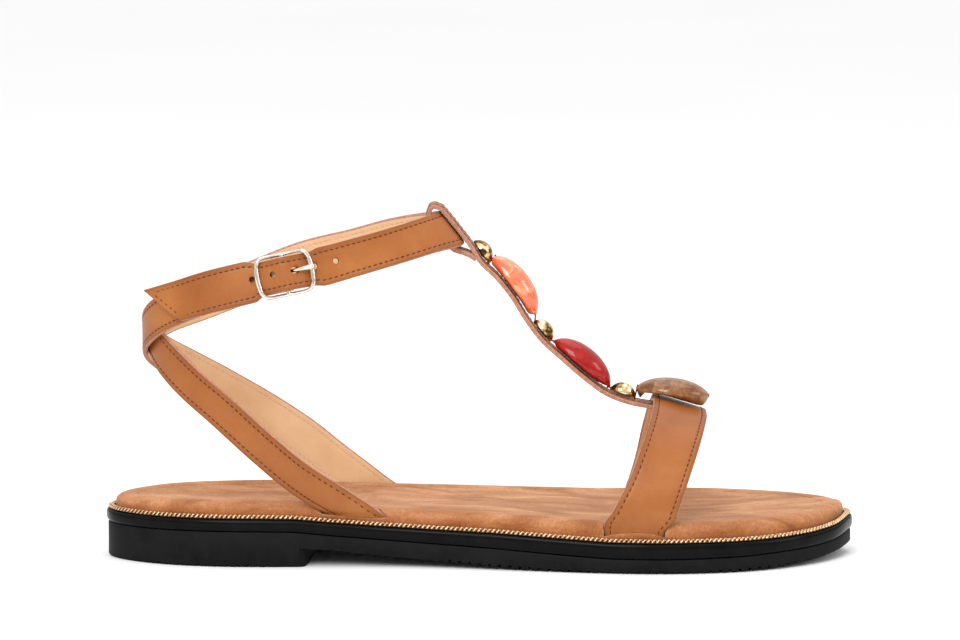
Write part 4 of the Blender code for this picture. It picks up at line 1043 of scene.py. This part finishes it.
def stitch_frame(middle, ahead, across, out, length, thick, tilt=0.0):
    """Where one stitch lies: a bead of thread, long along the seam."""
    turned = ahead * math.cos(tilt) + unit(across) * math.sin(tilt)
    beside = np.cross(out, turned)
    return laid_out(beside * thick / 2, out * thick * 0.40, turned * length / 2, middle)


def sew(stitches, line, start, finish, side, face, slant=0.0):
    """A row of stitches beside one edge of a strap, on its face or its lining."""
    count = max(1, int((finish - start) / STITCH_PITCH))
    for k in range(count):
        middle, ahead, across, out, width, thick = line.at(start + (k + 0.5) * (finish - start) / count)
        reach = side * (width / 2 - SEAM_INSET)
        level = (ROW_LEVEL * thick + THREAD_PROUD) * face
        shift = ahead * slant * reach / width
        sway = noise.noise((k * 0.7, side * 3.0, face)) * 0.10
        matrix = stitch_frame(middle + across * reach + shift + out * level, ahead, across, out * face,
                              STITCH_LENGTH * (1 + sway), THREAD, side * face * 0.07 + sway * 0.5)
        stitches.put(matrix)


def sew_end(stitches, line, distance, slant, face):
    """A row of stitches across a strap's end, following its slant."""
    middle, ahead, across, out, width, thick = line.at(distance)
    span = width - 2 * SEAM_INSET
    heading = unit(unit(across) + ahead * slant / width)
    count = max(2, int(span * np.linalg.norm(unit(across) + ahead * slant / width) / STITCH_PITCH))
    for k in range(1, count):
        reach = -span / 2 + k * span / count
        level = (END_LEVEL * thick + THREAD_PROUD) * face
        place = middle + across * reach + ahead * slant * reach / width + out * level
        matrix = stitch_frame(place, heading, ahead, out * face, STITCH_LENGTH, THREAD)
        stitches.put(matrix)


def make_seams(name, rows, finish, ends=()):
    stitches = Repeated(6, 5)
    for row in rows:
        sew(stitches, *row)
    for row in ends:
        sew_end(stitches, *row)
    return new_piece(name, stitches.finished(), [finish])


def round_tool(centre, axis, radius, reach, sides=20):
    """A punch: a round bar through the leather."""
    source = bmesh.new()
    turn = Vector(axis).to_track_quat("Z", "Y").to_matrix().to_4x4()
    bmesh.ops.create_cone(source, cap_ends=True, segments=sides, radius1=radius, radius2=radius,
                          depth=2 * reach, matrix=Matrix.Translation(Vector(centre)) @ turn)
    return source


def make_t_strap():
    vamp = vamp_line()
    make_strap("vamp_strap", vamp, ["upper_t_strap"], seed=1.0)
    bar = t_line()
    make_strap("t_bar_strap", bar, [], seed=5.0)
    rows = [(vamp, SEAM_START, vamp.length - SEAM_START, side, 1) for side in (-1, 1)]
    make_seams("vamp_stitches", rows, "thread")
    make_seams("vamp_lining_stitches", [(*row[:4], -1) for row in rows], "pale_thread")
    rows = [(bar, 6 * MM, bar.length - MM, side, 1) for side in (-1, 1)]
    make_seams("t_bar_stitches", rows, "thread")
    make_seams("t_bar_lining_stitches", [(*row[:4], -1) for row in rows], "pale_thread")
    return vamp


def make_ankle_straps(buckle):
    strap = long_line(buckle)
    slant = -TIP_SLANT * ANKLE_WIDTH
    long_piece = make_strap("ankle_strap_long", strap, ["upper_ankle_strap"], slant, seed=9.0)
    for k in range(HOLE_COUNT):
        distance = strap.station - PRONG_HOLE + (PRONG_HOLE_NUMBER - k) * HOLE_PITCH
        middle, _, _, out, _, _ = strap.at(distance)
        radius = HOLE_SIZE / 2 * (1.0 if k != PRONG_HOLE_NUMBER else HOLE_IN_USE)
        tool = round_tool(middle + buckle.across * HOLE_RAISE, out, radius, STRAP_THICK)
        # painted shade: the punched hole's walls take the near-black finish in place of the raw leather's
        # colour
        cut_out(long_piece, tool, "hole")
    prong = np.array(prong_rows(buckle))[-8:]
    passing = tube_rings(prong[:, :3], prong[:, 3] + GAP * 1.2, buckle.across, 16)
    # painted shade: the walls of the prong's passage are near-black as well
    cut_out(long_piece, close_ends(sheet_round(passing)), "hole")

    short = short_line(buckle)
    short_piece = make_strap("ankle_strap_short", short, [], seed=13.0)
    half = CENTRE_BAR / 2 + 2 * GAP + PRONG_BAR
    slot = bmesh.new()
    bmesh.ops.create_cube(slot, size=2.0)
    for vert in slot.verts:
        along, across, level = vert.co
        vert.co = buckle.place(along * half, HOLE_RAISE + across * (PRONG_BAR / 2 + GAP),
                               buckle.centre_bar + level * half)
    bmesh.ops.recalc_face_normals(slot, faces=slot.faces)
    cut_out(short_piece, slot, "edge")

    tip = strap.length - SEAM_INSET
    upper_end = tip - abs(slant) / 2
    lower_end = tip + abs(slant) / 2 - MM
    face_rows = [(strap, SEAM_START, lower_end, -1, 1), (strap, SEAM_START, upper_end, 1, 1)]
    short_rows = [(short, SEAM_START, short.fold - 2 * MM, side, 1) for side in (-1, 1)]
    make_seams("ankle_stitches", face_rows + short_rows, "thread", [(strap, tip, slant, 1)])
    lining = [(*row[:4], -1) for row in face_rows + short_rows]
    make_seams("ankle_lining_stitches", lining, "pale_thread")
    return strap, short


# Metal


def tube_rings(points, radii, reference, sides, flat=1.0, closed=False):
    """Rings of a round or flattened bar along a line of points."""
    points = np.asarray(points, float)
    if closed:
        along = unit(np.roll(points, -1, axis=0) - np.roll(points, 1, axis=0))
    else:
        along = tangents(points)
    first = unit(np.cross(along, reference))
    second = np.cross(along, first)
    radii = np.broadcast_to(radii, len(points))[:, None]
    rings = []
    for k in range(sides):
        turn = 2 * math.pi * k / sides
        rings.append(points + radii * (first * math.cos(turn) + second * math.sin(turn) * flat))
    return np.stack(rings, axis=1)


def make_buckle(buckle):
    half_length = BUCKLE_LENGTH / 2
    half_across = ANKLE_WIDTH * BUCKLE_PINCH / 2 + 1.6 * GAP + RAIL_BAR / 2
    quarter = ((1.0, 0.0), (0.985, 0.35), (0.95, 0.68), (BUCKLE_CORNER, 0.95), (BUCKLE_CORNER * 0.78, 1.0),
               (0.40, 1.0), (0.20, 1.0))
    upper = list(quarter) + [(0.0, 1.0)] + [(-along, across) for along, across in reversed(quarter)]
    ring = upper + [(along, -across) for along, across in reversed(upper[1:-1])]
    dip = buckle.side_bar - buckle.centre_bar
    rows = []
    for along, across in ring:
        side = min(1.0, abs(along) / BUCKLE_CORNER)
        place = buckle.place(along * half_length, across * half_across, buckle.side_bar - dip * (1 - side**2))
        rows.append((*place, RAIL_BAR / 2 + (BUCKLE_BAR - RAIL_BAR) / 2 * max(0.0, 1 - abs(across)**3)))
    path = closed_line(rows, 0.4 * MM, 160)
    rings = tube_rings(path[:, :3], path[:, 3], buckle.out, 20, 0.92, closed=True)
    frame_mesh = sheet_round(rings, closed=True)
    bmesh.ops.recalc_face_normals(frame_mesh, faces=frame_mesh.faces)
    new_piece("buckle_frame_polished", frame_mesh, ["silver"], ["buckle_frame"])
    bar = [buckle.place(0.0, side * half_across, buckle.centre_bar) for side in (-1, -0.5, 0, 0.5, 1)]
    rings = tube_rings(bar, CENTRE_BAR / 2, buckle.out, 20)
    new_piece("buckle_centre_bar", close_ends(sheet_round(rings)), ["silver"], sharp=50)

    rows = smooth_line(prong_rows(buckle), 0.35 * MM, 12)
    end = np.clip((line_lengths(rows[:, :3])[-1] - line_lengths(rows[:, :3])) / (0.9 * MM), 0.02, 1.0)
    radii = rows[:, 3] * np.sqrt(1 - (1 - end)**2)
    rings = tube_rings(rows[:, :3], radii, buckle.across, 16)
    new_piece("buckle_prong_polished", close_ends(sheet_round(rings)), ["silver"],
              ["buckle_prong"], sharp=60)


# Sole


def sole_ring(inset, height, inward=0.0):
    points, outward = OUTLINE
    edge = points - outward * inset
    flat = edge + (spine_points(points) - edge) * inward
    heights = np.broadcast_to(height(flat[:, 0], flat[:, 1]), len(flat))
    return np.stack([flat[:, 0], flat[:, 1], heights], axis=1)


def sole_body(rings, shade=None, shade_name="wall"):
    """A closed solid through rings of the outline, whose first and last rings lie on the middle line."""
    rows = np.stack(rings, axis=0)
    source = sheet_round(rows, shade=shade, shade_name=shade_name)
    bmesh.ops.remove_doubles(source, verts=source.verts, dist=0.00003)
    bmesh.ops.recalc_face_normals(source, faces=source.faces)
    return source


def arch_tool():
    """Everything between the floor and the underside of the waist and toe."""
    source = bmesh.new()
    bmesh.ops.create_grid(source, x_segments=110, y_segments=40, size=0.5)
    breast = HEEL_BREAST - SOLE_LENGTH / 2
    toe = SOLE_LENGTH / 2 + 8 * MM
    edge = BALL_WIDTH * 0.323
    for vert in source.verts:
        y = vert.co.y * 1.5 * BALL_WIDTH
        beyond = max(0.0, abs(y) - (edge - HEEL_CORNER))
        corner = HEEL_CORNER - math.sqrt(max(0.0, HEEL_CORNER**2 - min(beyond, HEEL_CORNER)**2))
        back = breast + BREAST_SLANT * (0.5 + y / (2 * edge)) - corner
        x = back + (toe - back) * (vert.co.x + 0.5)
        vert.co = (x, y, float(under_height(x)) - 0.05 * MM)
    extruded = bmesh.ops.extrude_face_region(source, geom=source.faces[:])
    for vert in (item for item in extruded["geom"] if isinstance(item, bmesh.types.BMVert)):
        vert.co.z = -5 * MM
    bmesh.ops.recalc_face_normals(source, faces=source.faces)
    return source


TREAD_PITCH = 3.4 * MM
TREAD_DEPTH = 0.75 * MM
TREAD_WIDTH = 1.1 * MM


def tread_tool():
    """The grooves of the tread: narrow bars laid across the underside of the forefoot and of the heel."""
    source = bmesh.new()
    for first, last in ((0.05, 0.235), (0.46, 0.955)):
        count = int((last - first) * SOLE_LENGTH / TREAD_PITCH)
        for k in range(count):
            x = (first - 0.5) * SOLE_LENGTH + k * TREAD_PITCH
            bottom = float(under_height(x)) if first > 0.3 else 0.0
            rise = float(under_height(x + MM) - under_height(x - MM)) / (2 * MM) if first > 0.3 else 0.0
            matrix = (Matrix.Translation((x, 0.0, bottom - MM + TREAD_DEPTH))
                      @ Matrix.Rotation(-math.atan(rise), 4, "Y")
                      @ Matrix.Diagonal((TREAD_WIDTH, 1.4 * BALL_WIDTH, 2 * MM, 1.0)))
            bmesh.ops.create_cube(source, size=1.0, matrix=matrix)
    bmesh.ops.recalc_face_normals(source, faces=source.faces)
    return source


def make_outsole():
    def floor(x, y):
        return x * 0.0

    def topside(x, y):
        return seam_height(x) - GAP

    edge = OUTSOLE_EDGE
    rings = [sole_ring(OUTSOLE_INSET + edge, floor, inward) for inward in (1.0, 0.6, 0.3, 0.0)]
    for share in (0.3, 0.7, 1.0):
        inset = OUTSOLE_INSET + edge * (1 - share)**1.6
        rings.append(sole_ring(inset, lambda x, y: floor(x, y) + edge * share**1.4))
    rings.append(sole_ring(OUTSOLE_INSET, lambda x, y: topside(x, y) - OUTSOLE_RIM * 2))
    rings += [sole_ring(OUTSOLE_INSET + OUTSOLE_RIM, topside, inward) for inward in (0.0, 0.3, 0.65, 1.0)]
    piece = new_piece("outsole_rubber", sole_body(rings), ["rubber"], ["outsole"], sharp=40)
    cut_out(piece, arch_tool(), "rubber")
    cut_out(piece, tread_tool(), "rubber")
    piece.data.shade_smooth()
    piece.data.set_sharp_from_angle(angle=math.radians(35))


def make_midsole():
    def between(share):
        return lambda x, y: seam_height(x) + (top_height(x) - seam_height(x)) * share

    rings = [sole_ring(MIDSOLE_ROUND, between(0.0), inward) for inward in (1.0, 0.65, 0.3, 0.0)]
    for inset, share in ((0.62, 0.03), (0.36, 0.10), (0.14, 0.22), (0.02, 0.38), (0.0, 0.55), (0.03, 0.70),
                         (0.14, 0.83), (0.34, 0.93), (0.62, 0.985), (0.9, 1.0)):
        rings.append(sole_ring(MIDSOLE_ROUND * inset, between(share)))
    rings += [sole_ring(3.4 * MM, between(1.0), inward) for inward in (0.0, 0.3, 0.65, 1.0)]
    new_piece("midsole_welt", sole_body(rings), ["welt"], ["midsole"], sharp=60)


# The three rows of beads. inset: in from the sole's edge. up: above the welt. shift: share of the pitch.
BEAD_ROWS = (
    # inset, up, shift
    (1.10 * MM, 0.78 * MM, 0.0),
    (1.80 * MM, 1.12 * MM, 0.5),
    (2.46 * MM, 0.90 * MM, 0.0),
)
BEAD_PITCH = 1.62 * MM
BEAD_SIZE = (1.50 * MM, 0.98 * MM, 0.92 * MM)
BEAD_SLANT = math.radians(34)


def make_trim():
    points, outward = OUTLINE
    beads = Repeated(7, 5)
    for inset, up, shift in BEAD_ROWS:
        path = points - outward * inset
        loop = np.vstack((path, path[:1]))
        directions = np.vstack((outward, outward[:1]))
        walked = line_lengths(loop)
        count = round(walked[-1] / BEAD_PITCH)
        for k in range(count):
            distance = (k + shift) * walked[-1] / count
            x, y = point_at(loop, walked, distance)
            out = unit(np.append(point_at(directions, walked, distance), 0.0))
            slope = float(top_height(x + MM) - top_height(x - MM)) / (2 * MM)
            ahead = unit(np.array((-out[1], out[0], -out[1] * slope)))
            turned = unit(ahead * math.cos(BEAD_SLANT) + np.array((0.0, 0.0, math.sin(BEAD_SLANT))))
            lift = unit(np.cross(out, turned))
            length, width, thick = np.array(BEAD_SIZE) / 2
            beads.put(laid_out(out * width, lift * thick, turned * length, (x, y, float(top_height(x)) + up)))
    new_piece("trim_beads", beads.finished(), ["trim_gold"], ["bead_trim"])

    # painted shade: a near-black band under the beads, so that the gaps between them read as shade
    rings = []
    for inset, up in ((0.72, 0.02), (0.72, 0.30), (1.2, 0.50), (1.8, 0.62), (2.4, 0.50), (2.95, 0.30),
                      (2.95, 0.02)):
        rings.append(sole_ring(inset * MM, lambda x, y, up=up: top_height(x) + GAP + up * MM))
    band = sheet_round(np.stack(rings, axis=1), closed=True)
    bmesh.ops.recalc_face_normals(band, faces=band.faces)
    new_piece("trim_backing", band, ["hole"])


def make_footbed(straps):
    wall = TRIM_INSET + TRIM_WIDTH + GAP

    def bottom(x, y):
        return top_height(x) + GAP

    def level(share):
        return lambda x, y: bottom(x, y) + (footbed_crest(x, y) - bottom(x, y)) * share

    def dished(depth, press=0.0):
        def height(x, y):
            heel = np.exp(-(((along_of(x) - 0.16) / 0.16)**2))
            fore = 0.45 * np.exp(-(((along_of(x) - 0.72) / 0.14)**2))
            soft = np.array([noise.noise((px * 38, py * 38, 1.7)) for px, py in zip(x, y)])
            return (footbed_crest(x, y) - FOOTBED_DISH * depth * (0.35 + 0.65 * (heel + fore)) - press
                    + soft * 0.30 * MM * min(1.0, depth * 3))
        return height

    rings = [sole_ring(wall + 0.5 * MM, bottom, inward) for inward in (1.0, 0.6, 0.3, 0.0)]
    shares = [1.0] * 4
    for inset, share in ((0.16, 0.06), (0.04, 0.16), (0.0, 0.30), (0.04, 0.46), (0.16, 0.60), (0.42, 0.72),
                         (0.85, 0.82), (1.45, 0.90), (2.2, 0.955), (3.1, 0.985), (4.2, 1.0)):
        rings.append(sole_ring(wall + inset * MM, level(share)))
        shares.append(float(np.clip(1.25 - share, 0.0, 1.0))**1.4 if share > 0.5 else 1.0)
    for inset, depth, press in ((5.4, 0.12, 0.0), (6.4, 0.25, 0.0), (7.0, 0.32, 0.10), (7.4, 0.36, 0.38),
                                (7.8, 0.40, 0.10), (8.6, 0.46, 0.0)):
        rings.append(sole_ring(wall + inset * MM, dished(depth, press * MM)))
        shares.append(0.0)
    for inward in (0.06, 0.14, 0.24, 0.36, 0.5, 0.65, 0.82, 1.0):
        depth = 0.46 + 0.54 * (1 - (1 - inward)**2)
        rings.append(sole_ring(wall + 8.6 * MM, dished(depth), inward))
        shares.append(0.0)
    shade = [[share] * len(OUTLINE[0]) for share in shares]
    source = sole_body(rings, shade)
    # painted shade: a soft oval beside the inner strap's root, which the suede finish darkens
    root_shade = source.verts.layers.float.new("root_shade")
    for vert in source.verts:
        x, y = vert.co.x, vert.co.y
        patch = ((x - ROOT_SHADE_PLACE[0]) / ROOT_SHADE_SIZE[0])**2 + ((y - ROOT_SHADE_PLACE[1]) / ROOT_SHADE_SIZE[1])**2
        vert[root_shade] = math.exp(-patch)
    piece = new_piece("footbed_padded", source, ["suede"], ["footbed"])
    for line, ends in straps:
        for end in ends:
            cut_out(piece, root_tool(line, end), "edge")
    piece.data.shade_smooth()
    piece.data.set_sharp_from_angle(angle=math.radians(55))


def root_tool(line, end):
    """Room for a strap's end in the footbed: the same band, larger all round by the gap."""
    order = slice(None) if end == 0 else slice(None, None, -1)
    columns = (line.centres, line.across, line.outs, line.widths)
    centres, across, outs, widths = (values[order] for values in columns)
    rim = float(top_height(centres[0][0])) + FOOTBED_HEIGHT + ARCH_LIFT + ANKLE_WIDTH / 2
    count = int(np.argmax(centres[:, 2] > rim)) + 1
    centres = centres[:count].copy()
    centres[0] += unit(centres[0] - centres[1]) * GAP
    half_across = (widths[:count, None] / 2 + 1.2 * GAP) * across[:count]
    half_out = outs[:count] * (STRAP_THICK / 2 + GAP)
    rings = np.stack((centres + half_across + half_out, centres - half_across + half_out,
                      centres - half_across - half_out, centres + half_across - half_out), axis=1)
    return close_ends(sheet_round(rings))


# Stones


def stone_seat():
    """Height of the leather under the stones, along the T and over the vamp strap's crest."""
    line = t_centres(SOLID_T_STEP, SOLID_T_TURN)[:, :3]
    surface = line[:np.argmax(line[:, 2])][::-1]
    crest = max(VAMP_ROWS, key=lambda row: row[2])
    edge = VAMP_WIDTH * crest[3] / 2 + GAP
    crest_x = (crest[0] - 0.5) * SOLE_LENGTH
    x = np.linspace(surface[0, 0], crest_x + edge, 240)
    slope = np.interp(x, surface[:, 0], np.gradient(surface[:, 2], surface[:, 0]))
    heights = np.interp(x, surface[:, 0], surface[:, 2]) + T_THICK / 2 * np.sqrt(1 + slope**2)
    vamp = VAMP_HEIGHT + STRAP_THICK / 2 - crest[4] * (x - crest_x)
    return x, np.where(x > crest_x - edge, np.maximum(heights, vamp), heights)


def make_stone(node, forward, size, finish):
    """A cabochon or bead: a lens with drawn-out ends and a drilled knob at each end."""
    length, width, height = size
    x, heights = stone_seat()
    middle = instep_place(forward)
    angle = 0.0
    for _ in range(4):
        reach = length * 0.40 * math.cos(angle)
        low, high = np.interp((middle - reach, middle + reach), x, heights)
        angle = math.atan2(high - low, 2 * reach)
    ahead = np.array((math.cos(angle), 0.0, math.sin(angle)))
    up = np.array((-math.sin(angle), 0.0, math.cos(angle)))
    beam = np.array((0.0, 1.0, 0.0))
    origin = np.array((middle, 0.0, float(np.interp(middle, x, heights))))
    belly = height * STONE_BELLY
    profile = np.stack([x, np.zeros(len(x)), heights], axis=1) - origin
    along = profile @ ahead
    under = belly * np.sqrt(np.clip(1 - (2 * along / length)**2, 0.0, 1.0))
    lift = float(np.max((profile @ up + under)[np.abs(along) < length / 2])) + GAP
    source = bmesh.new()
    bmesh.ops.create_uvsphere(source, u_segments=48, v_segments=32, radius=1.0,
                              matrix=Matrix.Rotation(math.radians(90), 4, "Y"))
    for vert in source.verts:
        point = vert.co.copy()
        taper = 1 - 0.18 * abs(point.x)**3
        uneven = 1 + 0.03 * noise.noise((point.x * 1.3, point.y * 1.3, forward * 40))
        if point.z < 0:
            near = point.x * length / 2 + np.linspace(-length / 8, length / 8, 9)
            room = lift - GAP - float(np.max(np.interp(near, along, profile @ up)))
            rise = point.z * room / max(math.sqrt(max(0.0, 1 - point.x**2)), 0.5)
        else:
            rise = point.z * (height - belly) * taper
        beside = beam * point.y * width / 2 * taper * uneven
        vert.co = origin + ahead * point.x * length / 2 + beside + up * (lift + rise)
    knob = KNOB_SIZE if finish != "gold" else GOLD_KNOB_SIZE
    for side in (-1, 1):
        place = origin + ahead * side * (length / 2 - KNOB_SINK) + up * lift
        bmesh.ops.create_uvsphere(source, u_segments=16, v_segments=10, radius=1.0,
                                  matrix=laid_out(beam * knob, up * knob, ahead * knob * 0.7, place))
    bmesh.ops.recalc_face_normals(source, faces=source.faces)
    new_piece(node + "_polished", source, [finish], [node])
    return origin + up * lift - ahead * length / 2, origin + up * lift + ahead * length / 2


def make_stones():
    ends = [make_stone(*row) for row in STONE_PLACES]
    source = bmesh.new()
    for (_, back), (front, _) in zip(ends, ends[1:]):
        overlap = (front - back) * 0.4
        sag = np.array((0, 0, -0.1 * MM))
        run = np.array([back - overlap, (back + front) / 2 + sag, front + overlap])
        for shift in (-0.28 * MM, 0.28 * MM):
            rings = tube_rings(run + np.array((0.0, shift, 0.0)), STRAND, (0.0, 1.0, 0.0), 8)
            strand = close_ends(sheet_round(rings))
            mesh = mesh_of("strand", strand)
            source.from_mesh(mesh)
            bpy.data.meshes.remove(mesh)
    new_piece("stone_thread", source, ["thread"])


# Stage

FLOOR_SIZE = 30.0
CAMERA_LENS = 173.5
CAMERA_AWAY = 1.5887
CAMERA_HEIGHT = 0.2712
CAMERA_DOWN = 6.8           # degrees
LAMPS = (
    # name, place, size, power
    ("key", (-0.30, -0.95, 0.70), 0.55, 7.0),
    ("top", (0.10, 0.20, 1.25), 1.0, 4.0),
    ("side", (1.00, -0.35, 0.45), 0.4, 2.0),
)
LAMP_TARGET = Vector((0.0, 0.0, 0.04))


def make_stage():
    source = bmesh.new()
    bmesh.ops.create_grid(source, x_segments=1, y_segments=1, size=FLOOR_SIZE)
    floor = bpy.data.objects.new("floor", mesh_of("floor", source))
    bpy.context.scene.collection.objects.link(floor)
    paper = Finish("paper_white", Roughness=0.9, Specular_IOR_Level=0.1)
    paper.colour(paper.ramp(paper.mottle(0.4, 2), (0.0, (0.90, 0.90, 0.90)), (1.0, (0.93, 0.93, 0.93))))
    floor.data.materials.append(paper.material)

    world = bpy.data.worlds.new("studio")
    world.use_nodes = True
    tree = world.node_tree
    where = tree.nodes.new("ShaderNodeTexCoord")
    split = tree.nodes.new("ShaderNodeSeparateXYZ")
    fall = tree.nodes.new("ShaderNodeValToRGB")
    tree.links.new(where.outputs["Generated"], split.inputs[0])
    tree.links.new(split.outputs["Z"], fall.inputs["Fac"])
    tree.links.new(fall.outputs["Color"], tree.nodes["Background"].inputs["Color"])
    for element, (place, level) in zip(fall.color_ramp.elements, ((0.02, 0.42), (0.55, 1.0))):
        element.position = place
        element.color = (level, level, level, 1.0)
    tree.nodes["Background"].inputs["Strength"].default_value = 1.12
    bpy.context.scene.world = world
    for name, place, size, power in LAMPS:
        light = bpy.data.lights.new(name, "AREA")
        light.size = size
        light.energy = power
        lamp = bpy.data.objects.new(name, light)
        lamp.location = place
        lamp.rotation_euler = (LAMP_TARGET - Vector(place)).to_track_quat("-Z", "Y").to_euler()
        bpy.context.scene.collection.objects.link(lamp)


def make_camera():
    camera = bpy.data.cameras.new("camera")
    camera.lens = CAMERA_LENS
    camera.sensor_width = 36.0
    camera.clip_start = 0.05
    camera.clip_end = 100.0
    view = bpy.data.objects.new("camera", camera)
    view.location = (0.0, MIDDLE_SHIFT - CAMERA_AWAY, CAMERA_HEIGHT)
    view.rotation_euler = (math.radians(90 - CAMERA_DOWN), 0.0, 0.0)
    bpy.context.scene.collection.objects.link(view)
    bpy.context.scene.camera = view
    bpy.context.scene.view_settings.view_transform = "Standard"


make_camera()
make_stage()
make_outsole()
make_midsole()
make_trim()
vamp = make_t_strap()
the_buckle = Buckle()
long_strap, short_strap = make_ankle_straps(the_buckle)
make_buckle(the_buckle)
make_footbed([(vamp, (0, 1)), (long_strap, (0,)), (short_strap, (0,))])
make_stones()
